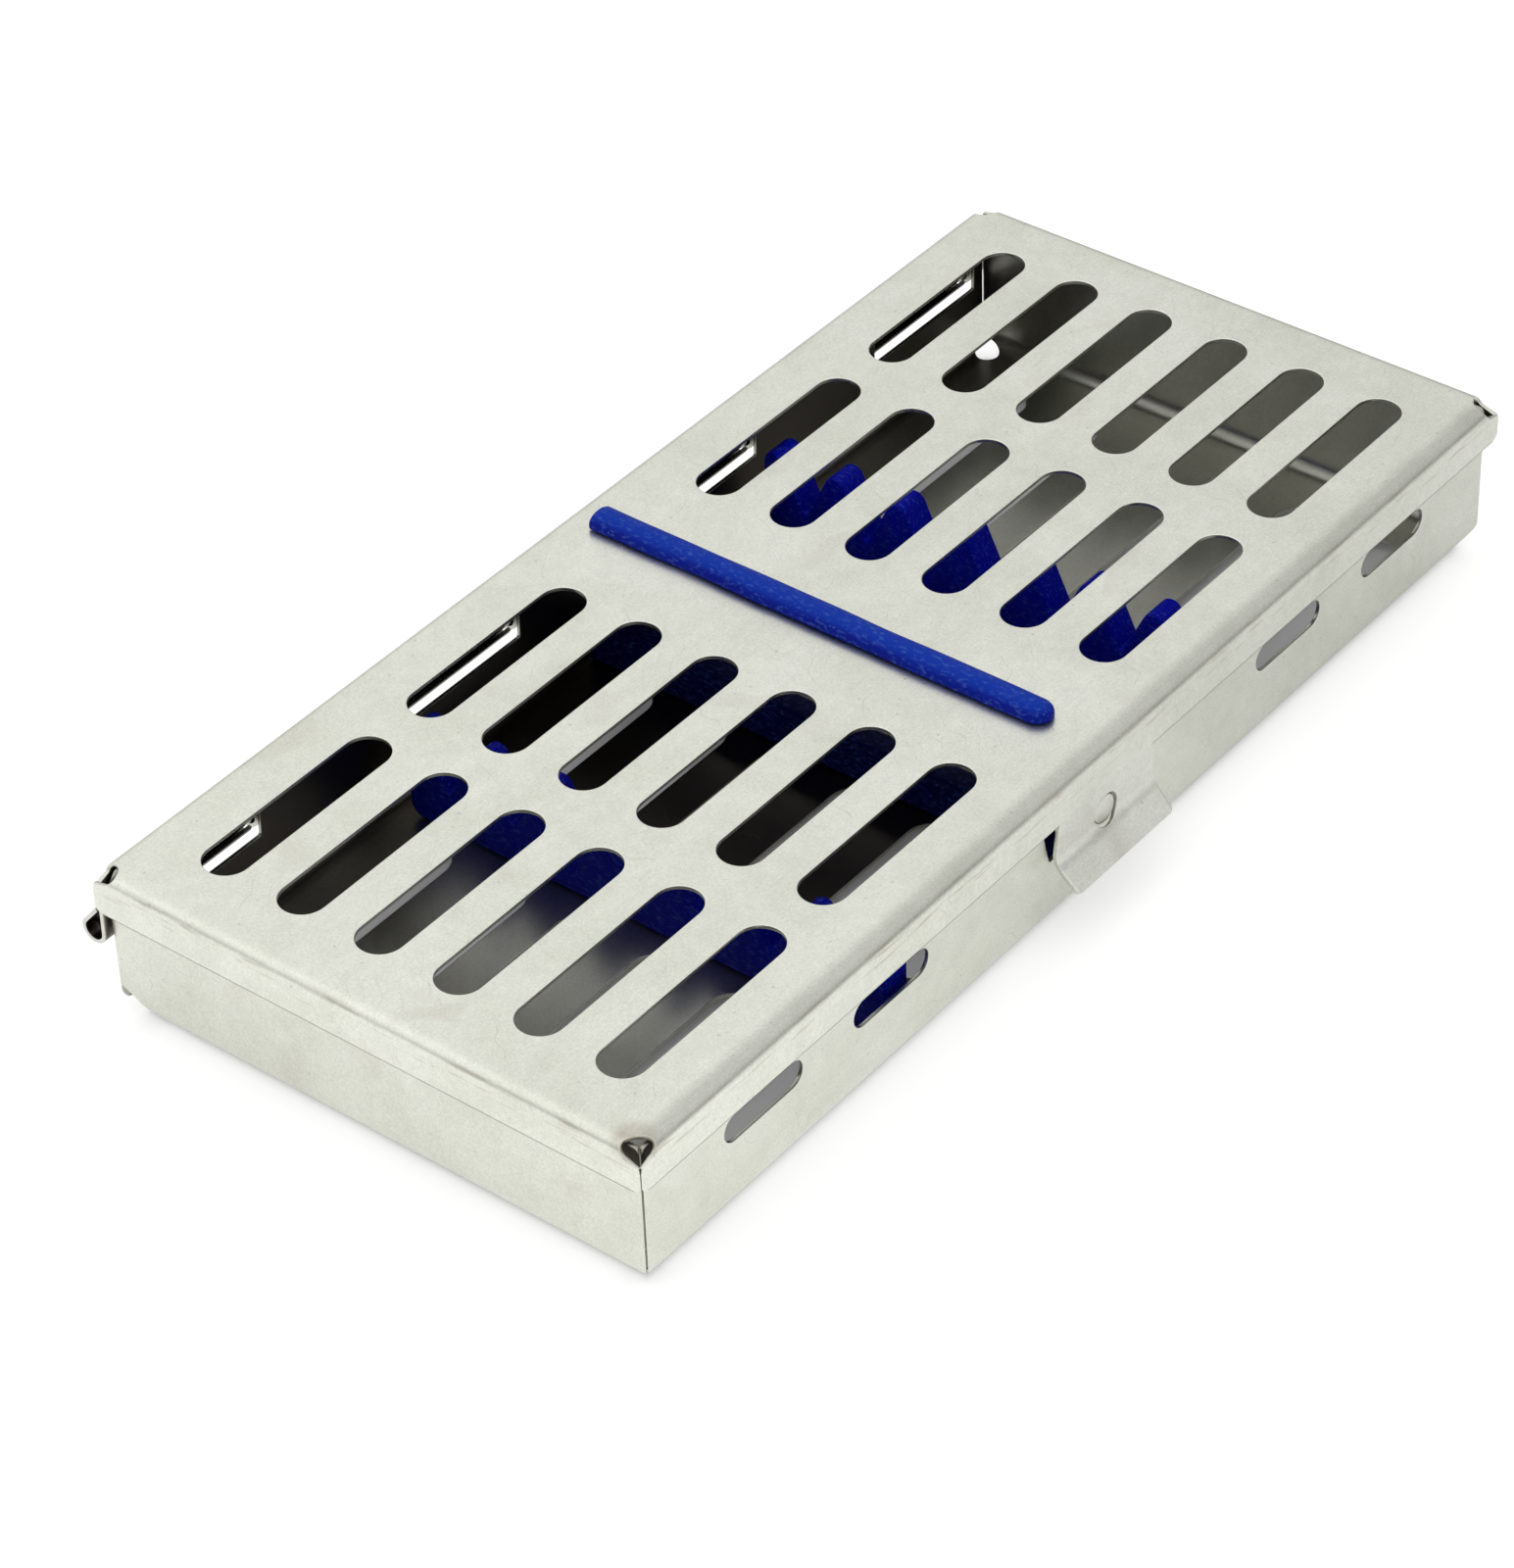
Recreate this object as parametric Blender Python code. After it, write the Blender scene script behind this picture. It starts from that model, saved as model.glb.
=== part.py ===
import math

import bmesh
import bpy
from mathutils import Vector

# Instrument cassette: a bent sheet tray, a hinged sheet lid and silicone holders.
# Metres. X runs along the hinge, +Y points at the hinge, Z is up, the ground is at zero.

# sheet metal and fits
SHEET = 0.0006
GAP = 0.0003
OVERRUN = 0.001

# lid
LID_LENGTH = 0.180
LID_WIDTH = 0.084
BODY_HEIGHT = 0.022
LID_BEND = 0.0015
FLANGE_DEPTH = 0.006
FLANGE_CORNER = 0.0009
LID_SEAM = 0.0004
LID_RELIEF_RADIUS = 0.0022
LID_RELIEF_INSET = 0.0010

# lid slots: four rows of six
SLOT_WIDTH = 0.00628
SLOT_SIDE_MARGIN = 0.011625
SLOT_COLUMNS = 6
LID_SLOT_START = 0.0130
LID_SLOT_BRIDGE = 0.0060
LID_SLOT_END_MARGIN = 0.0084

# tray
TRAY_END_GAP = 0.0009
TRAY_FRONT_GAP = 0.0006
TRAY_BACK_GAP = 0.0003
TRAY_BEND = 0.0030
TRAY_SEAM = 0.0003
TRAY_RELIEF_RADIUS = 0.0017
FLOOR_SLOT_WIDTH = 0.0065
FLOOR_SLOT_SHIFT = -0.0015
INNER_SLOT_START = 0.0030
INNER_SLOT_LENGTH = 0.0260
OUTER_SLOT_START = 0.0430
OUTER_SLOT_END_MARGIN = 0.0085

# front wall slots and catch slits, drops are measured from the top of the lid
WALL_SLOT_LENGTH = 0.01465
WALL_SLOT_HEIGHT = 0.0039
WALL_SLOT_END_MARGIN = 0.0147
WALL_SLOT_PITCH = 0.0244
WALL_SLOT_DROP = 0.0097
SLIT_TOP_DROP = 0.0076
SLIT_BOTTOM_DROP = 0.0120
SLIT_INNER = 0.0083
SLIT_TOP_REACH = 0.0113
SLIT_BOTTOM_REACH = 0.0103

# hinge
WINDOWS = 4
WINDOW_LENGTH = 0.0231
WINDOW_END_MARGIN = 0.0042
WINDOW_TOP_DROP = 0.0074
WINDOW_BOTTOM_DROP = 0.01185
HINGE_REACH = 0.0014
HINGE_DROP = 0.0102
PIN_RADIUS = 0.00105
PIN_END_INSET = 0.0020
ROLL_SHEET = 0.00055
ROLL_CLEARANCE = 0.00028
ROLL_END_GAP = 0.0005
ROLL_NOSE_OFFSET = 0.0008

# latch tongue and catch button
TONGUE_NECK = 0.0194
TONGUE_WIDTH = 0.0208
TONGUE_LIP_WIDTH = 0.0202
TONGUE_KNEE_DROP = 0.0111
TONGUE_REACH = 0.0033
TONGUE_BEND = 0.0012
TONGUE_HOLE_RADIUS = 0.0024
BUTTON_DROP = 0.0099
BUTTON_RADIUS = 0.0021
BUTTON_HEIGHT = 0.0008
BUTTON_EDGE = 0.00025
RIVET_RADIUS = 0.0009
RIVET_TAIL_RADIUS = 0.0015
RIVET_TAIL_HEIGHT = 0.0005

# silicone bars and combs
FOOT_DROP = 0.0012
BEAD_WIDTH = 0.0043
BEAD_HEIGHT = 0.0020
BEAD_FRONT_MARGIN = 0.0082
BEAD_BACK_MARGIN = 0.0045
BEAD_NOSE = 0.0022
NECK_WIDTH = 0.0016
NECK_INSET = 0.0040
ROOT = 0.0004
BAR_WIDTH = 0.0046
BAR_DEPTH = 0.0050
BAR_ROUND = 0.0010
PRESS_TRIM = 0.0040
REST_HEIGHT = 0.0060
FOOT_END_MARGIN = 0.00695
REST_END_GAP = 0.00205
NEAR_COMB_INNER = 0.0358
FAR_COMB_INNER = 0.0325
COMB_THICKNESS = 0.0046
COMB_SHIFT = -0.00115
COMB_END_GAP = 0.00295
COMB_FOOT_ROUND = 0.0022
NOTCHES = 7
END_TOOTH = 0.0017
NOTCH_DEPTH = 0.0078
NOTCH_FLOOR = 0.0003
NOTCH_HEIGHT = 0.0066
CROWN_RADIUS = 0.0017

# how finely the round shapes are stepped
BEND_STEPS = 5
SLOT_STEPS = 7
ROLL_STEPS = 14
ROUND_STEPS = 24
CROWN_STEPS = 6

# shares of a bead's nose length and section along its rounded end
NOSE_PLACE_SHARES = (0.0, 0.18, 0.5, 1.0)
NOSE_SIZE_SHARES = (0.42, 0.74, 0.94, 1.0)

TOP = FOOT_DROP + BODY_HEIGHT
LID_HALF_X = LID_LENGTH / 2
LID_HALF_Y = LID_WIDTH / 2
TRAY_HALF_X = LID_HALF_X - SHEET - TRAY_END_GAP
TRAY_FRONT = -(LID_HALF_Y - SHEET - TRAY_FRONT_GAP)
TRAY_BACK = LID_HALF_Y - SHEET - TRAY_BACK_GAP
TRAY_MIDDLE = (TRAY_FRONT + TRAY_BACK) / 2
TRAY_HALF_Y = (TRAY_BACK - TRAY_FRONT) / 2
WALL_TOP = TOP - SHEET - GAP
FLOOR_TOP = FOOT_DROP + SHEET
ROLL_MID = PIN_RADIUS + ROLL_CLEARANCE + ROLL_SHEET / 2
HINGE_Y = LID_HALF_Y + HINGE_REACH
HINGE_Z = TOP - HINGE_DROP
FLANGE_EDGE = TOP - FLANGE_DEPTH
SLOT_PITCH = (LID_WIDTH - 2 * SLOT_SIDE_MARGIN) / (SLOT_COLUMNS - 1)
LID_SLOT_LENGTH = (LID_HALF_X - LID_SLOT_END_MARGIN - LID_SLOT_START - LID_SLOT_BRIDGE) / 2
OUTER_SLOT_LENGTH = TRAY_HALF_X - OUTER_SLOT_END_MARGIN - OUTER_SLOT_START
WALL_SLOT_PLACE = TRAY_HALF_X - WALL_SLOT_END_MARGIN - WALL_SLOT_LENGTH / 2
WINDOW_PLACE = LID_HALF_X - WINDOW_END_MARGIN - WINDOW_LENGTH / 2
BEAD_FRONT = BEAD_FRONT_MARGIN - LID_HALF_Y
BEAD_BACK = LID_HALF_Y - BEAD_BACK_MARGIN
FOOT_HALF = TRAY_HALF_Y - FOOT_END_MARGIN
COMB_HALF = TRAY_HALF_Y - SHEET - COMB_END_GAP
REST_HALF = TRAY_HALF_Y - SHEET - REST_END_GAP
NOTCH_PITCH = (COMB_HALF - END_TOOTH) * 2 / NOTCHES


def clear_scene():
    for item in list(bpy.data.objects):
        bpy.data.objects.remove(item, do_unlink=True)


def satin_steel(name, grey, roughness):
    material = bpy.data.materials.new(name)
    material.use_nodes = True
    shader = material.node_tree.nodes["Principled BSDF"]
    shader.inputs["Base Color"].default_value = (grey, grey, grey * 0.97, 1.0)
    shader.inputs["Metallic"].default_value = 1.0
    shader.inputs["Roughness"].default_value = roughness
    return material


def blue_silicone(name, depth):
    material = bpy.data.materials.new(name)
    material.use_nodes = True
    shader = material.node_tree.nodes["Principled BSDF"]
    shader.inputs["Base Color"].default_value = (0.004 * depth, 0.03 * depth, 0.40 * depth, 1.0)
    shader.inputs["Metallic"].default_value = 0.0
    shader.inputs["Roughness"].default_value = 0.42
    return material


def place(name, bm, material=None, parent=None, origin=(0, 0, 0)):
    """Turn a bmesh given in world places into an object with its own origin."""
    bmesh.ops.translate(bm, verts=bm.verts, vec=-Vector(origin))
    bmesh.ops.recalc_face_normals(bm, faces=bm.faces)
    mesh = bpy.data.meshes.new(name)
    bm.to_mesh(mesh)
    bm.free()
    thing = bpy.data.objects.new(name, mesh)
    bpy.context.scene.collection.objects.link(thing)
    thing.location = origin
    if material:
        mesh.materials.append(material)
    if parent:
        thing.parent = parent
        thing.location = Vector(origin) - parent.location
    return thing


def smooth(thing):
    thing.data.shade_smooth()
    thing.data.set_sharp_from_angle(angle=math.radians(32))


def joint_empty(name, place_at, parent=None):
    empty = bpy.data.objects.new(name, None)
    bpy.context.scene.collection.objects.link(empty)
    empty.location = place_at
    if parent:
        empty.parent = parent
        empty.location = Vector(place_at) - parent.location
    bpy.context.view_layer.update()
    return empty


def combine(target, tool, operation):
    """Cut or join with a tool object that stays in the file as a wire guide."""
    step = target.modifiers.new(operation.title(), "BOOLEAN")
    step.operation = operation
    step.solver = "EXACT"
    step.object = tool
    tool.hide_render = True
    tool.display_type = "WIRE"


def add_prism(bm, outline, low, high, axis):
    """Extrude a closed outline of two coordinates along the axis that it leaves out."""
    def corner(pair, level):
        values = list(pair)
        values.insert(axis, level)
        return Vector(values)
    bottom = [bm.verts.new(corner(pair, low)) for pair in outline]
    top = [bm.verts.new(corner(pair, high)) for pair in outline]
    bm.faces.new(bottom)
    bm.faces.new(list(reversed(top)))
    count = len(outline)
    for i in range(count):
        j = (i + 1) % count
        bm.faces.new((bottom[j], bottom[i], top[i], top[j]))


def arc(centre, radius, start, stop, steps):
    turn = (stop - start) / steps
    return [(centre[0] + radius * math.cos(start + turn * i),
             centre[1] + radius * math.sin(start + turn * i)) for i in range(steps + 1)]


def obround(middle, length, width):
    """A slot outline with round ends, its length along the first coordinate."""
    radius = width / 2
    reach = length / 2 - radius
    quarter = math.pi / 2
    right = arc((middle[0] + reach, middle[1]), radius, -quarter, quarter, SLOT_STEPS)
    left = arc((middle[0] - reach, middle[1]), radius, quarter, 3 * quarter, SLOT_STEPS)
    return right + left


def rectangle(low, high):
    return [(low[0], low[1]), (high[0], low[1]), (high[0], high[1]), (low[0], high[1])]


def bend_rows(radius, depth, seam, corner=0.0):
    """Rows of a flap as (out, away, inset): the bend, the straight wall, its rounded lower corner."""
    rows = []
    for i in range(1, BEND_STEPS + 1):
        angle = math.pi / 2 * i / BEND_STEPS
        rows.append((radius * math.sin(angle), radius * (1 - math.cos(angle)), seam))
    if corner:
        for i in range(3):
            angle = math.pi / 4 * i
            rows.append((radius, depth - corner + corner * math.sin(angle),
                         seam + corner * (1 - math.cos(angle))))
    else:
        rows.append((radius, depth, seam))
    return rows


def folded_sheet(flat_x, flat_y, level, direction, rows):
    """Middle surface of a panel with four flaps that meet at mitred, open corners."""
    bm = bmesh.new()
    corners = [(-1, -1), (1, -1), (1, 1), (-1, 1)]
    panel = [bm.verts.new((sx * flat_x, sy * flat_y, level)) for sx, sy in corners]
    bm.faces.new(panel)
    for k in range(4):
        ends = (corners[k], corners[(k + 1) % 4])
        along_x = ends[0][1] == ends[1][1]
        last = (panel[k], panel[(k + 1) % 4])
        for out, away, inset in rows:
            row = []
            for sx, sy in ends:
                reach_x = flat_x + (out - inset if along_x else out)
                reach_y = flat_y + (out if along_x else out - inset)
                row.append(bm.verts.new((sx * reach_x, sy * reach_y, level + direction * away)))
            bm.faces.new((last[1], last[0], row[0], row[1]))
            last = row
    return bm


def thicken(thing, thickness):
    skin = thing.modifiers.new("Sheet", "SOLIDIFY")
    skin.thickness = thickness
    skin.offset = 0
    skin.use_even_offset = True


def slot_grid(bm, spans, width, shift, low, high):
    """Cutters for mirrored rows of slots; spans lists the start and length of each row."""
    for start, length in spans:
        for side in (-1, 1):
            middle_x = side * (start + length / 2)
            for column in range(SLOT_COLUMNS):
                middle_y = (column - (SLOT_COLUMNS - 1) / 2) * SLOT_PITCH + shift
                add_prism(bm, obround((middle_x, middle_y), length, width), low, high, 2)


def reliefs(bm, x, y, middle, radius, low, high):
    for sx in (-1, 1):
        for sy in (-1, 1):
            ring = arc((sx * x, middle + sy * y), radius, 0, 2 * math.pi, ROUND_STEPS)[:-1]
            add_prism(bm, ring, low, high, 2)


def make_tray(parent):
    radius = TRAY_BEND - SHEET / 2
    level = FOOT_DROP + SHEET / 2
    flat_x = TRAY_HALF_X - TRAY_BEND
    flat_y = TRAY_HALF_Y - TRAY_BEND
    rows = bend_rows(radius, WALL_TOP - level, SHEET / 2 + TRAY_SEAM)
    bm = folded_sheet(flat_x, flat_y, level, 1, rows)
    bmesh.ops.translate(bm, verts=bm.verts, vec=(0, TRAY_MIDDLE, 0))
    tray = place("tray", bm, satin_steel("tray satin steel", 0.62, 0.34), parent)
    thicken(tray, SHEET)

    low = FOOT_DROP - OVERRUN
    high = FLOOR_TOP + OVERRUN
    cuts = bmesh.new()
    spans = ((INNER_SLOT_START, INNER_SLOT_LENGTH), (OUTER_SLOT_START, OUTER_SLOT_LENGTH))
    slot_grid(cuts, spans, FLOOR_SLOT_WIDTH, TRAY_MIDDLE + FLOOR_SLOT_SHIFT, low, high)
    wide = NECK_WIDTH + 2 * GAP
    reach = FOOT_HALF - NECK_INSET + GAP
    half = COMB_THICKNESS / 2
    for x in (-NEAR_COMB_INNER - half, 0, FAR_COMB_INNER + half):
        add_prism(cuts, rectangle((x - wide / 2, TRAY_MIDDLE - reach),
                                  (x + wide / 2, TRAY_MIDDLE + reach)), low, high, 2)
    combine(tray, place("tray_floor_cuts", cuts), "DIFFERENCE")

    corners = bmesh.new()
    reliefs(corners, flat_x, flat_y, TRAY_MIDDLE, TRAY_RELIEF_RADIUS, low, FOOT_DROP + TRAY_BEND)
    combine(tray, place("tray_corner_cuts", corners), "DIFFERENCE")

    walls = bmesh.new()
    front = (TRAY_FRONT - OVERRUN, TRAY_FRONT + SHEET + OVERRUN)
    back = (TRAY_BACK - SHEET - OVERRUN, TRAY_BACK + OVERRUN)
    for low_x, high_x in window_spans():
        window = rectangle((low_x, TOP - WINDOW_BOTTOM_DROP), (high_x, TOP - WINDOW_TOP_DROP))
        add_prism(walls, window, back[0], back[1], 1)
    for side in (-1, 1):
        for k in range(2):
            middle = (side * (WALL_SLOT_PLACE - k * WALL_SLOT_PITCH), TOP - WALL_SLOT_DROP)
            outline = obround(middle, WALL_SLOT_LENGTH, WALL_SLOT_HEIGHT)
            add_prism(walls, outline, front[0], front[1], 1)
        slit = [(side * SLIT_INNER, TOP - SLIT_BOTTOM_DROP),
                (side * SLIT_BOTTOM_REACH, TOP - SLIT_BOTTOM_DROP),
                (side * SLIT_TOP_REACH, TOP - SLIT_TOP_DROP),
                (side * SLIT_INNER, TOP - SLIT_TOP_DROP)]
        add_prism(walls, slit, front[0], front[1], 1)
    hole = arc((0, TOP - BUTTON_DROP), RIVET_RADIUS + GAP, 0, 2 * math.pi, ROUND_STEPS)[:-1]
    add_prism(walls, hole, front[0], front[1], 1)
    combine(tray, place("tray_wall_cuts", walls), "DIFFERENCE")
    return tray


def make_lid(parent):
    radius = LID_BEND - SHEET / 2
    level = TOP - SHEET / 2
    flat_x = LID_HALF_X - LID_BEND
    flat_y = LID_HALF_Y - LID_BEND
    rows = bend_rows(radius, level - FLANGE_EDGE, SHEET / 2 + LID_SEAM, FLANGE_CORNER)
    bm = folded_sheet(flat_x, flat_y, level, -1, rows)
    lid = place("lid", bm, satin_steel("lid satin steel", 0.70, 0.30), parent, tuple(parent.location))
    thicken(lid, SHEET)

    low = TOP - SHEET - OVERRUN
    high = TOP + OVERRUN
    cuts = bmesh.new()
    outer = LID_SLOT_START + LID_SLOT_LENGTH + LID_SLOT_BRIDGE
    spans = ((LID_SLOT_START, LID_SLOT_LENGTH), (outer, LID_SLOT_LENGTH))
    slot_grid(cuts, spans, SLOT_WIDTH, 0, low, high)
    wide = NECK_WIDTH + 2 * GAP
    add_prism(cuts, rectangle((-wide / 2, BEAD_FRONT + NECK_INSET - GAP),
                              (wide / 2, BEAD_BACK - NECK_INSET + GAP)), low, high, 2)
    combine(lid, place("lid_slot_cuts", cuts), "DIFFERENCE")

    corners = bmesh.new()
    reliefs(corners, LID_HALF_X - LID_RELIEF_INSET, LID_HALF_Y - LID_RELIEF_INSET, 0,
            LID_RELIEF_RADIUS, TOP - LID_BEND - OVERRUN, high)
    combine(lid, place("lid_corner_cuts", corners), "DIFFERENCE")
    return lid


def rolled_strip(name, path, low, high, material, parent):
    """A sheet strip that follows a path of (y, z) points, with its width along X."""
    bm = bmesh.new()
    near = [bm.verts.new((low, y, z)) for y, z in path]
    far = [bm.verts.new((high, y, z)) for y, z in path]
    for i in range(len(path) - 1):
        bm.faces.new((near[i], near[i + 1], far[i + 1], far[i]))
    origin = tuple(parent.location) if parent.name.startswith("lid") else (0, 0, 0)
    strip = place(name, bm, material, parent, origin)
    smooth(strip)
    thicken(strip, ROLL_SHEET)
    return strip


def lid_roll_path():
    """Down from the flange, round the pin and back up to a closed nose: a drop section."""
    centre = (HINGE_Y, HINGE_Z)
    stem_y = LID_HALF_Y - SHEET / 2
    top = FLANGE_EDGE - GAP
    nose = (stem_y + ROLL_NOSE_OFFSET, top - ROLL_SHEET / 2)
    away = (nose[0] - centre[0], nose[1] - centre[1])
    distance = math.hypot(away[0], away[1])
    leave = math.atan2(away[1], away[0]) - math.acos(ROLL_MID / distance)
    stem = (stem_y - centre[0], top - centre[1])
    distance = math.hypot(stem[0], stem[1])
    meet = math.atan2(stem[1], stem[0]) + math.acos(min(1, ROLL_MID / distance))
    return [(stem_y, top)] + arc(centre, ROLL_MID, meet, leave + 2 * math.pi, ROLL_STEPS) + [nose]


def tray_roll_path():
    """Out of the wall under the window's upper edge, over the pin and down round its far side."""
    centre = (HINGE_Y, HINGE_Z)
    root = (TRAY_BACK - SHEET / 2, TOP - WINDOW_TOP_DROP - GAP)
    leaf = HINGE_Z + ROLL_MID
    elbow = root[1] - leaf
    quarter = math.pi / 2
    bend = arc((root[0] + elbow, root[1]), elbow, 2 * quarter, 3 * quarter, 3)
    return bend + arc(centre, ROLL_MID, quarter, -math.radians(165), ROLL_STEPS)


def window_spans():
    """Where the hinge windows lie along the wall, evenly spread between its two ends."""
    spacing = 2 * WINDOW_PLACE / (WINDOWS - 1)
    middles = [k * spacing - WINDOW_PLACE for k in range(WINDOWS)]
    return [(x - WINDOW_LENGTH / 2, x + WINDOW_LENGTH / 2) for x in middles]


def make_knuckles(tray_parent, lid_parent):
    spans = window_spans()
    for number, (low, high) in enumerate(spans, 1):
        material = satin_steel("tray knuckle %d steel" % number, 0.60, 0.32)
        rolled_strip("tray_knuckle_%d" % number, tray_roll_path(), low + ROLL_END_GAP,
                     high - ROLL_END_GAP, material, tray_parent)
    ends = [-LID_HALF_X + SHEET] + [x for span in spans for x in span] + [LID_HALF_X - SHEET]
    for number in range(len(spans) + 1):
        low = ends[2 * number] + (ROLL_END_GAP if number else 0)
        high = ends[2 * number + 1] - (ROLL_END_GAP if number < len(spans) else 0)
        material = satin_steel("lid knuckle %d steel" % (number + 1), 0.66, 0.30)
        rolled_strip("lid_knuckle_%d" % (number + 1), lid_roll_path(), low, high,
                     material, lid_parent)


def make_pin(parent):
    """A wire with rounded ends, turned about its own axis."""
    half = LID_HALF_X - SHEET - PIN_END_INSET
    edge = PIN_RADIUS / 3
    profile = [(-half, 0), (-half, PIN_RADIUS - edge), (edge - half, PIN_RADIUS),
               (half - edge, PIN_RADIUS), (half, PIN_RADIUS - edge), (half, 0)]
    bm = bmesh.new()
    verts = [bm.verts.new((x, HINGE_Y + r, HINGE_Z)) for x, r in profile]
    edges = [bm.edges.new(pair) for pair in zip(verts, verts[1:])]
    bmesh.ops.spin(bm, geom=verts + edges, cent=(0, HINGE_Y, HINGE_Z), axis=(1, 0, 0),
                   angle=2 * math.pi, steps=ROUND_STEPS)
    bmesh.ops.remove_doubles(bm, verts=bm.verts, dist=GAP / 100)
    pin = place("hinge_pin", bm, satin_steel("hinge pin steel", 0.64, 0.25), parent,
                (0, HINGE_Y, HINGE_Z))
    smooth(pin)
    return pin


def tongue_path():
    """Flat against the flange plane, a knee, then a lip at forty-five degrees."""
    y = -(LID_HALF_Y - SHEET / 2)
    top = FLANGE_EDGE - GAP
    knee = TOP - TONGUE_KNEE_DROP
    eighth = math.pi / 4
    bend = arc((y - TONGUE_BEND, knee), TONGUE_BEND, 0, -eighth, 3)
    tip = -(LID_HALF_Y + TONGUE_REACH - SHEET / 2 * math.cos(eighth))
    return [(y, top)] + bend + [(tip, bend[-1][1] + tip - bend[-1][0])]


def make_tongue(parent):
    path = tongue_path()
    top, knee = path[0][1], path[1][1]
    halves = []
    for i, (y, z) in enumerate(path):
        if i == len(path) - 1:
            halves.append(TONGUE_LIP_WIDTH / 2)
        else:
            share = min(1, (top - z) / (top - knee))
            halves.append((TONGUE_NECK + (TONGUE_WIDTH - TONGUE_NECK) * share) / 2)
    bm = bmesh.new()
    rows = [[bm.verts.new((side * half, y, z)) for side in (-1, 1)]
            for (y, z), half in zip(path, halves)]
    for upper, lower in zip(rows, rows[1:]):
        bm.faces.new((upper[0], upper[1], lower[1], lower[0]))
    origin = (0, path[0][0], path[0][1])
    tongue = place("latch_tongue", bm, satin_steel("latch satin steel", 0.60, 0.28), parent, origin)
    thicken(tongue, SHEET)
    hole = bmesh.new()
    ring = arc((0, TOP - BUTTON_DROP), TONGUE_HOLE_RADIUS, 0, 2 * math.pi, ROUND_STEPS)[:-1]
    outside = -LID_HALF_Y - TONGUE_REACH
    add_prism(hole, ring, outside - OVERRUN, -LID_HALF_Y + SHEET + OVERRUN, 1)
    combine(tongue, place("latch_hole_cut", hole), "DIFFERENCE")
    return tongue


def make_button(parent):
    """A round stud: domed head outside the wall, shank through it, tail inside."""
    level = TOP - BUTTON_DROP
    head = TRAY_FRONT - GAP
    tail = TRAY_FRONT + SHEET + GAP
    profile = [(head - BUTTON_HEIGHT, 0),
               (head - BUTTON_HEIGHT, BUTTON_RADIUS - 2 * BUTTON_EDGE),
               (head - BUTTON_HEIGHT + BUTTON_EDGE, BUTTON_RADIUS - BUTTON_EDGE / 2),
               (head - BUTTON_HEIGHT + 2 * BUTTON_EDGE, BUTTON_RADIUS),
               (head, BUTTON_RADIUS), (head, RIVET_RADIUS), (tail, RIVET_RADIUS),
               (tail, RIVET_TAIL_RADIUS), (tail + RIVET_TAIL_HEIGHT, RIVET_TAIL_RADIUS - BUTTON_EDGE),
               (tail + RIVET_TAIL_HEIGHT, 0)]
    bm = bmesh.new()
    verts = [bm.verts.new((0, y, level + r)) for y, r in profile]
    edges = [bm.edges.new(pair) for pair in zip(verts, verts[1:])]
    bmesh.ops.spin(bm, geom=verts + edges, cent=(0, 0, level), axis=(0, 1, 0),
                   angle=2 * math.pi, steps=ROUND_STEPS)
    bmesh.ops.remove_doubles(bm, verts=bm.verts, dist=GAP / 100)
    button = place("catch_button", bm, satin_steel("catch button steel", 0.72, 0.24), parent)
    smooth(button)
    return button


def bead_section(size, base, rise):
    """Half-round section of a bead as (x, z); base is the flat side, rise its height."""
    half = BEAD_WIDTH / 2 * size
    points = [(half, base), (half, base + rise * size * 0.35)]
    for i in range(1, CROWN_STEPS):
        angle = math.pi * i / CROWN_STEPS
        points.append((half * math.cos(angle),
                       base + rise * size * (0.35 + 0.65 * math.sin(angle))))
    return points + [(-half, base + rise * size * 0.35), (-half, base)]


def add_loft(bm, stations):
    """Skin closed sections of equal count, given as (y, points in x and z)."""
    rings = [[bm.verts.new((x, y, z)) for x, z in points] for y, points in stations]
    for one, two in zip(rings, rings[1:]):
        count = len(one)
        for i in range(count):
            j = (i + 1) % count
            bm.faces.new((one[i], one[j], two[j], two[i]))
    bm.faces.new(list(reversed(rings[0])))
    bm.faces.new(rings[-1])


def rounded_bar(width, low, high, radius, lower=True):
    """Section in (x, z) with two rounded corners on its working side."""
    half = width / 2
    quarter = math.pi / 2
    if lower:
        left = arc((-half + radius, low + radius), radius, 2 * quarter, 3 * quarter, 3)
        right = arc((half - radius, low + radius), radius, 3 * quarter, 4 * quarter, 3)
        return left + right + [(half, high), (-half, high)]
    right = arc((half - radius, high - radius), radius, 0, quarter, 3)
    left = arc((-half + radius, high - radius), radius, quarter, 2 * quarter, 3)
    return [(-half, low), (half, low)] + right + left


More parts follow.
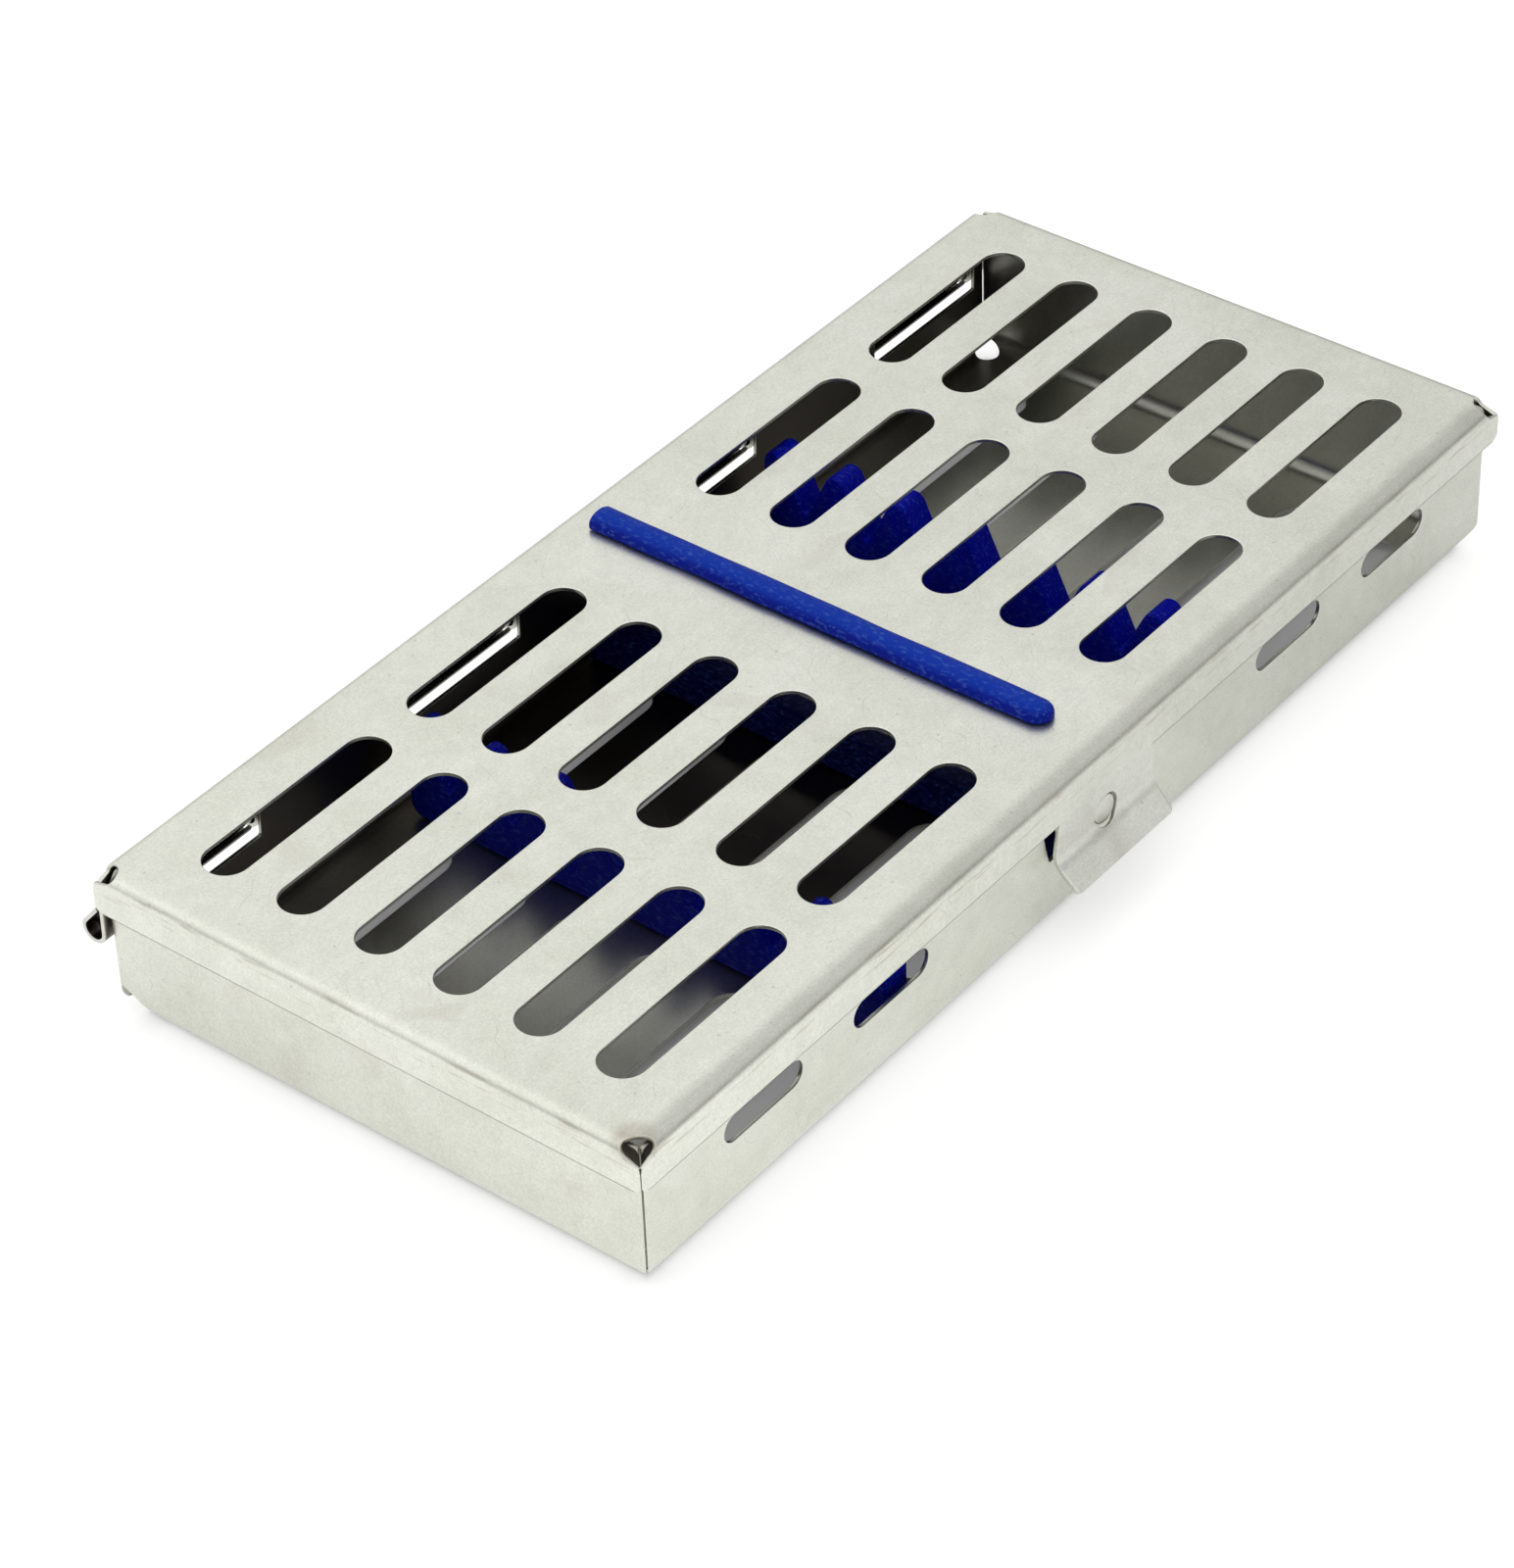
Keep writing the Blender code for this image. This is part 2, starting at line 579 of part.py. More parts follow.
def make_lid_bar(parent):
    """Bead above the lid, neck through its slot, pressing bar below, cut short by the hinge."""
    base = TOP + GAP
    rise = BEAD_HEIGHT - GAP
    bead = bmesh.new()
    stations = [(BEAD_FRONT + place_share * BEAD_NOSE, bead_section(size_share, base, rise))
                for place_share, size_share in zip(NOSE_PLACE_SHARES, NOSE_SIZE_SHARES)]
    add_loft(bead, stations + [(BEAD_BACK, bead_section(1.0, base, rise))])
    bar = place("lid_bar", bead, blue_silicone("lid bar silicone", 1.0), parent,
                tuple(parent.location))
    ceiling = TOP - SHEET - GAP
    press = bmesh.new()
    section = rounded_bar(BAR_WIDTH, ceiling - BAR_DEPTH, ceiling, BAR_ROUND)
    add_loft(press, [(BEAD_FRONT, section), (BEAD_BACK - PRESS_TRIM, section)])
    combine(bar, place("lid_bar_press", press), "UNION")
    neck = bmesh.new()
    half = NECK_WIDTH / 2
    add_prism(neck, rectangle((-half, BEAD_FRONT + NECK_INSET), (half, BEAD_BACK - NECK_INSET)),
              ceiling - ROOT, base + ROOT, 2)
    combine(bar, place("lid_bar_neck", neck), "UNION")
    return bar


def add_foot(holder, name, x):
    """Neck through the floor slot and a flat bead under the floor."""
    reach = FOOT_HALF - NECK_INSET
    neck = bmesh.new()
    add_prism(neck, rectangle((x - NECK_WIDTH / 2, TRAY_MIDDLE - reach),
                              (x + NECK_WIDTH / 2, TRAY_MIDDLE + reach)),
              FOOT_DROP - GAP - ROOT, FLOOR_TOP + GAP + ROOT, 2)
    combine(holder, place(name + "_neck", neck), "UNION")
    foot = bmesh.new()
    high = FOOT_DROP - GAP
    wide = BEAD_WIDTH / 2
    narrow = wide - high / 3
    section = [(x - wide, high), (x - wide, high / 3), (x - narrow, 0),
               (x + narrow, 0), (x + wide, high / 3), (x + wide, high)]
    add_loft(foot, [(TRAY_MIDDLE - FOOT_HALF, section), (TRAY_MIDDLE + FOOT_HALF, section)])
    combine(holder, place(name + "_foot", foot), "UNION")


def make_rest_bar(parent):
    low = FLOOR_TOP + GAP
    body = bmesh.new()
    section = rounded_bar(BAR_WIDTH, low, low + REST_HEIGHT - GAP, BAR_ROUND, lower=False)
    add_loft(body, [(TRAY_MIDDLE - REST_HALF, section), (TRAY_MIDDLE + REST_HALF, section)])
    bar = place("rest_bar", body, blue_silicone("rest bar silicone", 0.8), parent)
    add_foot(bar, "rest_bar", 0)
    return bar


def comb_outline():
    """Side view of a comb in (y, z): notches with straight flanks between round crowns."""
    low = FLOOR_TOP + GAP
    notch = FLOOR_TOP + NOTCH_HEIGHT
    rise = NOTCH_DEPTH - CROWN_RADIUS
    run = NOTCH_PITCH / 2 - NOTCH_FLOOR
    lean = math.acos(CROWN_RADIUS / math.hypot(run, rise)) - math.atan2(rise, run)
    corner = COMB_HALF - COMB_FOOT_ROUND
    quarter = math.pi / 2
    points = arc((-corner, low + COMB_FOOT_ROUND), COMB_FOOT_ROUND, 3 * quarter, 2 * quarter, 3)
    for tooth in range(NOTCHES + 1):
        middle = (tooth - NOTCHES / 2) * NOTCH_PITCH
        left = middle
        right = middle
        start = math.pi - lean
        stop = lean
        if tooth == 0:
            left = CROWN_RADIUS - COMB_HALF
            start = math.pi
        if tooth == NOTCHES:
            right = COMB_HALF - CROWN_RADIUS
            stop = 0
        if tooth:
            points.append((middle - NOTCH_PITCH / 2 + NOTCH_FLOOR, notch))
        points += arc((left, notch + rise), CROWN_RADIUS, start, quarter, CROWN_STEPS // 2)
        level = arc((right, notch + rise), CROWN_RADIUS, quarter, stop, CROWN_STEPS // 2)
        points += level if right > left else level[1:]
        if tooth < NOTCHES:
            points.append((middle + NOTCH_PITCH / 2 - NOTCH_FLOOR, notch))
    points += arc((corner, low + COMB_FOOT_ROUND), COMB_FOOT_ROUND, 0, -quarter, 3)
    return [(y + TRAY_MIDDLE + COMB_SHIFT, z) for y, z in points]


def make_comb(name, side, inside, parent):
    inner = side * inside
    outer = side * (inside + COMB_THICKNESS)
    bm = bmesh.new()
    add_prism(bm, comb_outline(), min(inner, outer), max(inner, outer), 0)
    comb = place(name, bm, blue_silicone(name + " silicone", 0.9), parent)
    add_foot(comb, name, (inner + outer) / 2)
    return comb


def main():
    clear_scene()
    tray_frame = joint_empty("tray_frame", (0, 0, 0))
    lid_frame = joint_empty("lid_frame", (0, HINGE_Y, HINGE_Z), tray_frame)
    make_tray(tray_frame)
    make_lid(lid_frame)
    make_knuckles(tray_frame, lid_frame)
    make_pin(tray_frame)
    make_tongue(lid_frame)
    make_button(tray_frame)
    make_lid_bar(lid_frame)
    make_rest_bar(tray_frame)
    make_comb("comb_near", -1, NEAR_COMB_INNER, tray_frame)
    make_comb("comb_far", 1, FAR_COMB_INNER, tray_frame)
    bpy.context.view_layer.update()


main()
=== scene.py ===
import math

import bpy
import numpy as np
from mathutils import Matrix


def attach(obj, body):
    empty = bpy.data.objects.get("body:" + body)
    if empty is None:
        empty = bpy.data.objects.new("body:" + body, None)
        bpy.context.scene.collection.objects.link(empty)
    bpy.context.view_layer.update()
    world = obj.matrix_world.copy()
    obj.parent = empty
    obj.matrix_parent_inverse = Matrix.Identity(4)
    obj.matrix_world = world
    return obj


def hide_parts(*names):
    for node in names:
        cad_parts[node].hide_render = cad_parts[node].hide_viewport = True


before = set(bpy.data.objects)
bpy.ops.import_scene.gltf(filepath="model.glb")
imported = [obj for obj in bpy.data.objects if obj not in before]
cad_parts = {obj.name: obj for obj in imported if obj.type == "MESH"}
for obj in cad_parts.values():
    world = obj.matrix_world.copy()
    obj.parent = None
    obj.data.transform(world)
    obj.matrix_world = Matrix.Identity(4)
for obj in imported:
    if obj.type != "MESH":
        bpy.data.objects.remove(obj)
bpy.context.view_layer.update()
mm = 0.001
print("frame loaded:", len(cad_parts), "nodes")


def srgb(code):
    # hex sRGB to linear: c/12.92 below 0.04045, else ((c+0.055)/1.055)^2.4
    channels = [int(code[i:i + 2], 16) / 255 for i in (1, 3, 5)]
    linear = [c / 12.92 if c <= 0.04045 else ((c + 0.055) / 1.055) ** 2.4 for c in channels]
    return (*linear, 1.0)


def addNode(tree, kind, settings=None, inputs=None, links=None):
    # one node with its settings, its input values, and the outputs that feed it
    node = tree.nodes.new(kind)
    for key, value in (settings or {}).items():
        setattr(node, key, value)
    for key, value in (inputs or {}).items():
        node.inputs[key].default_value = value
    for key, output in (links or {}).items():
        tree.links.new(output, node.inputs[key])
    return node


def setRamp(node, stops):
    # the ramp gets exactly these stops of (place, colour)
    ramp = node.color_ramp
    ramp.elements.remove(ramp.elements[-1])
    for index, (place, colour) in enumerate(stops):
        element = ramp.elements[0] if index == 0 else ramp.elements.new(place)
        element.position = place
        element.color = colour


steelLook = {
    "bright": "#e0e1d7", "dull": "#d5d7cb",
    "stain": "#a89c8c",
    "inner": "#5d5751",        # the inner skins, which the polishing wheel never met, tend to this, darkened further as painted shade of the cassette's dark inside
    "grainMm": (5.0, 0.14),    # run and pitch of the rolled grain, drawn a little coarse so that it shows
    "scratchMm": 9.0,          # spacing of the fine handling scratches
    "rubMm": (7.0, 0.55),      # length and width of the rub marks along the folded edges
    "dotMm": 3.2,              # spacing of the pits and dried specks, each a quarter of a millimetre wide
    # size in mm, detail, roughness and distortion of each cloudy pattern
    "patterns": {
        "pebble": (0.34, 3.0, 0.7, 0.0),       # the fine tooth of the sheet
        "mottle": (2.6, 4.0, 0.7, 0.0),
        "blotch": (16.0, 5.0, 0.62, 0.4),      # soft patches left by washing
        "patch": (7.0, 1.0, 0.5, 0.0),         # where the scratches are kept
        "smear": (13.0, 3.0, 0.5, 0.8),        # smudges of handling
        "swell": (24.0, 1.0, 0.5, 0.0),        # the sheet isn't quite flat
    },
    # share and base of the patterns whose product is the fine tone
    "tones": {"pebble": (0.50, 0.75), "mottle": (0.20, 0.90), "grain": (0.12, 0.94)},
    # places in mm where a mark or the fold's painted shade fades in: axis, start, full
    "edges": {
        "overFlangeFoot": ("Z", 19.4, 21.0), "underTop": ("Z", 23.1, 22.2),
        "nearFoldShade": ("Y", -38.5, -40.7), "onTop": ("Z", 21.8, 22.5),
    },
    "foldPaintedShade": 0.25,         # painted shade taken from the tone along the latch side's fold, on the lid's top
    "teaMm": (-88.0, -39.6, 23.2), "teaReachMm": (3.6, 1.4),      # stain round the corner relief at the latch
}


def satinStainlessSteel(name, bright=None, dull=None, roughness=(0.29, 0.37), innerShadeShare=0.4):
    # 304 sheet with a rolled satin finish: fine straight grain, cloudy patches left by washing, a few short
    #                                       hairline scratches
    # and dots, a broad soft reflection, and painted shade on the inner skins and along the latch side's fold
    look = steelLook
    material = bpy.data.materials.new(name)
    material.use_nodes = True
    tree = material.node_tree
    shader = tree.nodes["Principled BSDF"]
    shader.inputs["Metallic"].default_value = 1.0

    place = addNode(tree, "ShaderNodeTexCoord").outputs["Object"]
    turned = addNode(tree, "ShaderNodeMapping", inputs={"Rotation": (0.3, 0.2, 0.9)}, links={"Vector": place})
    pattern = {}
    for key, (size, detail, rough, distortion) in look["patterns"].items():
        vector = turned.outputs["Vector"] if key == "smear" else place
        pattern[key] = addNode(tree, "ShaderNodeTexNoise", inputs={
            "Scale": 1 / (size * mm), "Detail": detail, "Roughness": rough, "Distortion": distortion,
        }, links={"Vector": vector}).outputs["Fac"]

    # noises drawn out: the grain along x, the rub marks along x and y
    (run, pitch), (rubRun, rubWidth) = look["grainMm"], look["rubMm"]
    drawnOut = {"grain": ((run, pitch, pitch), 3.0, 0.6), "rub": ((rubRun, rubRun, rubWidth), 2.0, 0.5)}
    for key, (sizes, detail, rough) in drawnOut.items():
        scale = tuple(1 / (size * mm) for size in sizes)
        drawn = addNode(tree, "ShaderNodeMapping", inputs={"Scale": scale}, links={"Vector": place})
        values = {"Scale": 1.0, "Detail": detail, "Roughness": rough}
        pattern[key] = addNode(tree, "ShaderNodeTexNoise", None, values,
                               {"Vector": drawn.outputs["Vector"]}).outputs["Fac"]

    # scratches are thin bands where a warped wave crosses its peak, and dots are the hearts of small cells
    pattern["wave"] = addNode(tree, "ShaderNodeTexWave", {"wave_profile": "SIN"}, {
        "Scale": 1 / (look["scratchMm"] * mm), "Distortion": 22.0, "Detail": 2.0, "Detail Scale": 0.6,
    }, {"Vector": turned.outputs["Vector"]}).outputs["Fac"]
    pattern["cells"] = addNode(tree, "ShaderNodeTexVoronoi", inputs={"Scale": 1 / (look["dotMm"] * mm)},
                               links={"Vector": place}).outputs["Distance"]
    share = {}
    picked = {"thin": ("wave", 0.9985, 1.0, 1.0), "kept": ("patch", 0.55, 0.62, 1.0),
              "dot": ("cells", 0.075, 0.045, 1.0), "rubbed": ("rub", 0.55, 0.7, 0.55),
              "smudge": ("smear", 0.60, 0.76, 0.40)}
    for key, (source, start, full, most) in picked.items():
        values = {"From Min": start, "From Max": full, "To Max": most}
        share[key] = addNode(tree, "ShaderNodeMapRange", None, values,
                             {"Value": pattern[source]}).outputs["Result"]

    # where marks lie: between heights on the lid's flanges, round one corner, and the painted shade along the
    # latch side's fold
    axes = addNode(tree, "ShaderNodeSeparateXYZ", links={"Vector": place})
    distance = addNode(tree, "ShaderNodeVectorMath", {"operation": "DISTANCE"},
                       {1: tuple(v * mm for v in look["teaMm"])}, {0: place}).outputs["Value"]
    edges = {key: (axes.outputs[axis], start, full) for key, (axis, start, full) in look["edges"].items()}
    edges["nearCorner"] = (distance, *look["teaReachMm"])
    for key, (source, start, full) in edges.items():
        values = {"From Min": start * mm, "From Max": full * mm}
        share[key] = addNode(tree, "ShaderNodeMapRange", {"interpolation_type": "SMOOTHSTEP"}, values,
                             {"Value": source}).outputs["Result"]

    # each mark is the product of its factors
    marks = {
        "scratch": (share["thin"], share["kept"]),
        "rubs": (share["rubbed"], share["overFlangeFoot"], share["underTop"]),
        "smudges": (share["smudge"], pattern["mottle"]),
        "tea": (share["nearCorner"], pattern["mottle"]),
        # painted shade along the latch side's fold on the lid's top
        "fold": (share["nearFoldShade"], share["onTop"]),
    }
    for key, (level, *factors) in marks.items():
        for factor in factors:
            level = addNode(tree, "ShaderNodeMath", {"operation": "MULTIPLY"},
                            links={0: level, 1: factor}).outputs["Value"]
        marks[key] = level

    # base colour: the blotches' ramp, times the fine tones and the painted shade along the fold
    ramp = addNode(tree, "ShaderNodeValToRGB", links={"Fac": pattern["blotch"]})
    setRamp(ramp, [(0.30, srgb(dull or look["dull"])), (0.62, srgb(bright or look["bright"]))])
    colour = ramp.outputs["Color"]
    tones = [(pattern[key], gain, base) for key, (gain, base) in look["tones"].items()]
    for source, gain, base in tones + [(marks["fold"], -look["foldPaintedShade"], 1.0)]:
        tone = addNode(tree, "ShaderNodeMath", {"operation": "MULTIPLY_ADD"},
                       {1: gain, 2: base}, {0: source})
        colour = addNode(tree, "ShaderNodeVectorMath", {"operation": "SCALE"},
                         links={0: colour, "Scale": tone.outputs["Value"]}).outputs[0]

    # the strongest mark shows in the stain's colour, scratches and dots at a third of their depth
    cuts = addNode(tree, "ShaderNodeMath", {"operation": "MAXIMUM"},
                   links={0: marks["scratch"], 1: share["dot"]}).outputs["Value"]
    level = addNode(tree, "ShaderNodeMath", {"operation": "MULTIPLY"}, {1: 0.35}, {0: cuts}).outputs["Value"]
    for key in ("smudges", "rubs", "tea"):
        level = addNode(tree, "ShaderNodeMath", {"operation": "MAXIMUM"},
                        links={0: level, 1: marks[key]}).outputs["Value"]
    # painted shade: the inner attribute mixes the dark inner colour into the skins inside the cassette
    skin = addNode(tree, "ShaderNodeAttribute", {"attribute_name": "inner"})
    within = addNode(tree, "ShaderNodeMath", {"operation": "MULTIPLY"},
                     {1: innerShadeShare}, {0: skin.outputs["Fac"]})
    for key, factor in (("stain", level), ("inner", within.outputs["Value"])):
        colour = addNode(tree, "ShaderNodeMix", {"data_type": "RGBA"}, {7: srgb(look[key])},
                         {0: factor, 6: colour}).outputs[2]
    tree.links.new(colour, shader.inputs["Base Color"])

    rough = addNode(tree, "ShaderNodeMapRange",
                    inputs={"From Min": 0.3, "From Max": 0.7, "To Min": roughness[0], "To Max": roughness[1]},
                    links={"Value": pattern["blotch"]})
    tree.links.new(rough.outputs["Result"], shader.inputs["Roughness"])

    # relief, one upon the other: source, whether it is sunk in, strength and depth in mm
    reliefs = ((pattern["swell"], False, 0.3, 0.3), (pattern["grain"], False, 0.22, 0.012),
               (pattern["pebble"], False, 0.3, 0.02), (cuts, True, 0.5, 0.02))
    links = {}
    for source, sunk, strength, depth in reliefs:
        links["Height"] = source
        bump = addNode(tree, "ShaderNodeBump", {"invert": sunk},
                       {"Strength": strength, "Distance": depth * mm}, links)
        links["Normal"] = bump.outputs["Normal"]
    tree.links.new(links["Normal"], shader.inputs["Normal"])
    return material


siliconeLook = {
    "dust": "#4a68b8",
    "cloudMm": 6.0, "speckMm": 2.1,
    "rubsPerMm": (2.4, 1.1, 2.4),      # the rubbed streaks run a little aslant of y
    "roughness": (0.38, 0.55),
}


def mouldedSilicone(name, dark, bright, litTopColour=None):
    # silicone rubber from a smooth steel mould: even deep blue, faint waxy sheen, dust specks and rubbed
    # streaks, and painted light: what faces up is paler
    look = siliconeLook
    material = bpy.data.materials.new(name)
    material.use_nodes = True
    tree = material.node_tree
    shader = tree.nodes["Principled BSDF"]
    shader.inputs["IOR"].default_value = 1.41
    shader.inputs["Specular IOR Level"].default_value = 0.1
    place = addNode(tree, "ShaderNodeTexCoord").outputs["Object"]
    cloud = addNode(tree, "ShaderNodeTexNoise", inputs={"Scale": 1 / (look["cloudMm"] * mm), "Detail": 4.0},
                    links={"Vector": place}).outputs["Fac"]
    tone = addNode(tree, "ShaderNodeValToRGB", links={"Fac": cloud})
    setRamp(tone, [(0.3, srgb(dark)), (0.7, srgb(bright))])
    facing = addNode(tree, "ShaderNodeNewGeometry").outputs["Normal"]
    up = addNode(tree, "ShaderNodeSeparateXYZ", links={"Vector": facing}).outputs["Z"]
    slant = addNode(tree, "ShaderNodeMapping", links={"Vector": place}, inputs={
        "Scale": tuple(count / mm for count in look["rubsPerMm"]), "Rotation": (0, 0, 0.3)})
    rub = addNode(tree, "ShaderNodeTexNoise", inputs={"Scale": 1.0, "Detail": 3.0},
                  links={"Vector": slant.outputs["Vector"]}).outputs["Fac"]
    specks = addNode(tree, "ShaderNodeTexVoronoi", inputs={"Scale": 1 / (look["speckMm"] * mm)},
                     links={"Vector": place}).outputs["Distance"]
    # crown: painted light, what faces up takes the paler colour
    picked = {"crown": (up, 0.7, 1.0, 1.0), "rubbed": (rub, 0.52, 0.78, 0.5),
              "speck": (specks, 0.075, 0.045, 0.6)}
    share = {}
    for key, (source, start, full, most) in picked.items():
        values = {"From Min": start, "From Max": full, "To Max": most}
        share[key] = addNode(tree, "ShaderNodeMapRange", None, values, {"Value": source}).outputs["Result"]
    dust = addNode(tree, "ShaderNodeMath", {"operation": "MAXIMUM"},
                   links={0: share["rubbed"], 1: share["speck"]})
    colour = tone.outputs["Color"]
    for code, factor in ((litTopColour or bright, share["crown"]), (look["dust"], dust.outputs["Value"])):
        colour = addNode(tree, "ShaderNodeMix", {"data_type": "RGBA"}, {7: srgb(code)},
                         {0: factor, 6: colour}).outputs[2]
    tree.links.new(colour, shader.inputs["Base Color"])
    least, most = look["roughness"]
    rough = addNode(tree, "ShaderNodeMapRange", inputs={"To Min": least, "To Max": most},
                    links={"Value": cloud})
    tree.links.new(rough.outputs["Result"], shader.inputs["Roughness"])
    bump = addNode(tree, "ShaderNodeBump", inputs={"Strength": 0.35, "Distance": 0.05 * mm},
                   links={"Height": rub})
    tree.links.new(bump.outputs["Normal"], shader.inputs["Normal"])
    return material


def newPiece(name, points, faces, material, body, replaced, sharp=38, inner=None):
    # one mesh that stands in for one node and takes its slot. inner is written as a point attribute, the share
    # of painted
    # shade in the inner colour: 1 on the skin that faces into the cassette, 0 on the outer one
    mesh = bpy.data.meshes.new(name)
    faceList = [list(map(int, face)) for face in faces]
    mesh.from_pydata(np.asarray(points, float).tolist(), [], faceList)
    mesh.validate()
    mesh.update()
    mesh.shade_smooth()
    mesh.set_sharp_from_angle(angle=math.radians(sharp))
    mesh.materials.append(material)
    if inner is not None:
        mesh.attributes.new("inner", "FLOAT", "POINT").data.foreach_set("value", inner.astype(np.float32))
    piece = bpy.data.objects.new(name, mesh)
    bpy.context.scene.collection.objects.link(piece)
    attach(piece, body)
    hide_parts(replaced)


def unit(vectors):
    # each vector over its own length
    length = np.linalg.norm(vectors, axis=-1, keepdims=True)
    return vectors / np.maximum(length, 1e-12)


ringSteps = np.array([0.5, 0.2, 0.0]) * mm     # rings round a rim: two holding loops, then the rim itself


def hole(u, v, boxHalf, coreHalf, radius):
    # a hole round (u, v), from the half sizes of the box that is cut out and of the core rectangle
    (boxU, boxV), (coreU, coreV) = boxHalf, coreHalf
    return {"box": ((u - boxU, u + boxU), (v - boxV, v + boxV)),
            "core": ((u - coreU, u + coreU), (v - coreV, v + coreV)), "radius": radius}


def sheetNet(us, vs, holes=(), bites=()):
    # flat net on the lines us and vs, all faces turning one way.
    # A hole takes out the net in its box; rings then run from the box's edge to the rim, where each rim point
    # is the nearest point of the core rectangle moved out by the radius.
    # A bite (sideU, sideV, steps, rim) does the same at a corner of the net, whose rim is a given arc.
    us, vs = np.asarray(us, float), np.asarray(vs, float)
    nu, nv = len(us), len(vs)
    grid = np.stack(np.meshgrid(us, vs, indexing="ij"), -1).reshape(-1, 2)
    ids = np.arange(nu * nv).reshape(nu, nv)
    quads = np.stack([ids[:-1, :-1], ids[1:, :-1], ids[1:, 1:], ids[:-1, 1:]], -1)
    keep = np.ones((nu - 1, nv - 1), bool)
    points, faces = [grid], []
    count = len(grid)
    for opening in holes:
        (u0, u1), (v0, v1) = opening["box"]
        i0, i1 = np.abs(us - u0).argmin(), np.abs(us - u1).argmin()
        j0, j1 = np.abs(vs - v0).argmin(), np.abs(vs - v1).argmin()
        keep[i0:i1, j0:j1] = False
        last = np.concatenate([ids[i0:i1, j0], ids[i1, j0:j1], ids[i1:i0:-1, j1], ids[i0, j1:j0:-1]])
        edge = grid[last]
        low, high = np.array(opening["core"]).T
        foot = np.clip(edge, low, high)
        for extra in ringSteps:
            ring = foot + unit(edge - foot) * (opening["radius"] + extra)
            points.append(opening["lean"](ring) if "lean" in opening else ring)
            now = np.arange(len(last)) + count
            count += len(last)
            faces.append(np.stack([last, np.roll(last, -1), np.roll(now, -1), now], -1))
            last = now
    for sideU, sideV, steps, rim in bites:
        a = ids[::sideU, ::sideV]
        keep[::sideU, ::sideV][-steps:, -steps:] = False
        last = np.concatenate([a[-steps - 1, :-steps - 2:-1], a[-steps:, -steps - 1]])
        edge = grid[last]
        for extra in ringSteps:
            points.append(rim + unit(edge - rim) * extra)
            now = np.arange(len(rim)) + count
            count += len(rim)
            faces.append(np.stack([last[:-1], last[1:], now[1:], now[:-1]], -1))
            last = now
    points, faces = np.concatenate(points), np.concatenate([quads[keep].reshape(-1, 4)] + faces)
    p = points[faces]
    across, down = p[:, 2] - p[:, 0], p[:, 3] - p[:, 1]
    wrong = across[:, 0] * down[:, 1] - across[:, 1] * down[:, 0] < 0
    faces[wrong] = faces[wrong][:, ::-1]
    return points, faces


def lines(start, *stops):
    # line places from the start through stops of (end, steps), joined end to end
    places = [[start]]
    for end, steps in stops:
        places.append(np.linspace(places[-1][-1], end, steps + 1)[1:])
    return np.concatenate(places)


def weld(parts, near=2e-6):
    # join nets and merge points that share a place
    points = np.concatenate([part[0] for part in parts])
    starts = np.cumsum([0] + [len(part[0]) for part in parts])
    faces = np.concatenate([part[1] + start for part, start in zip(parts, starts)])
    keys = np.round(points[:, :3] / near).astype(np.int64)
    _, first, back = np.unique(keys, axis=0, return_index=True, return_inverse=True)
    return points[first], back.reshape(-1)[faces]


def sheetSolid(points, faces, thickness, edgeRound, plusInside=False):
    # a sheet from its middle surface: both skins stand off half the thickness along the normal, and each
    # free edge gets a rim with quarter-round corners. A fourth column of the points slants the rim: the outer
    # skin then reaches past the middle by that share of its height, which makes a mitre of it.
    # The third result is 1 on the inner skin, 0 on the outer one; the plus side is the inner one if asked for.
    n = len(points)
    slant = points[:, 3:] * (-1 if plusInside else 1) if points.shape[1] > 3 else 0
    points = points[:, :3]
    p = points[faces]
    faceNormal = np.cross(p[:, 2] - p[:, 0], p[:, 3] - p[:, 1])
    normal = np.zeros((n, 3))
    for k in range(4):
        np.add.at(normal, faces[:, k], unit(faceNormal))
    normal = unit(normal)
    starts, ends = faces.reshape(-1), np.roll(faces, -1, axis=1).reshape(-1)
    free = ~np.isin(starts.astype(np.int64) * n + ends, ends.astype(np.int64) * n + starts)
    starts, ends = starts[free], ends[free]
    side = unit(np.cross(points[ends] - points[starts], normal[starts] + normal[ends]))
    out = np.zeros((n, 3))
    np.add.at(out, starts, side / 2)
    np.add.at(out, ends, side / 2)
    out /= np.maximum((out ** 2).sum(1, keepdims=True), 0.5)
    half, r = thickness / 2, edgeRound
    section = [(half - r + r * math.cos(t), r * math.sin(t) - r) for t in np.radians([0, 30, 60, 90])]
    section += [(-up, along) for up, along in reversed(section)]
    rings = [points + normal * up + out * (along + slant * up) for up, along in section]
    last = len(rings) - 1
    solid = [faces, faces[:, ::-1] + last * n]
    for k in range(last):
        solid.append(np.stack([ends + k * n, starts + k * n, starts + (k + 1) * n, ends + (k + 1) * n], -1))
    used, solid = np.unique(np.concatenate(solid), return_inverse=True)
    share = (used // n) / last
    return np.concatenate(rings)[used], solid.reshape(-1, 4), 1 - share if plusInside else share


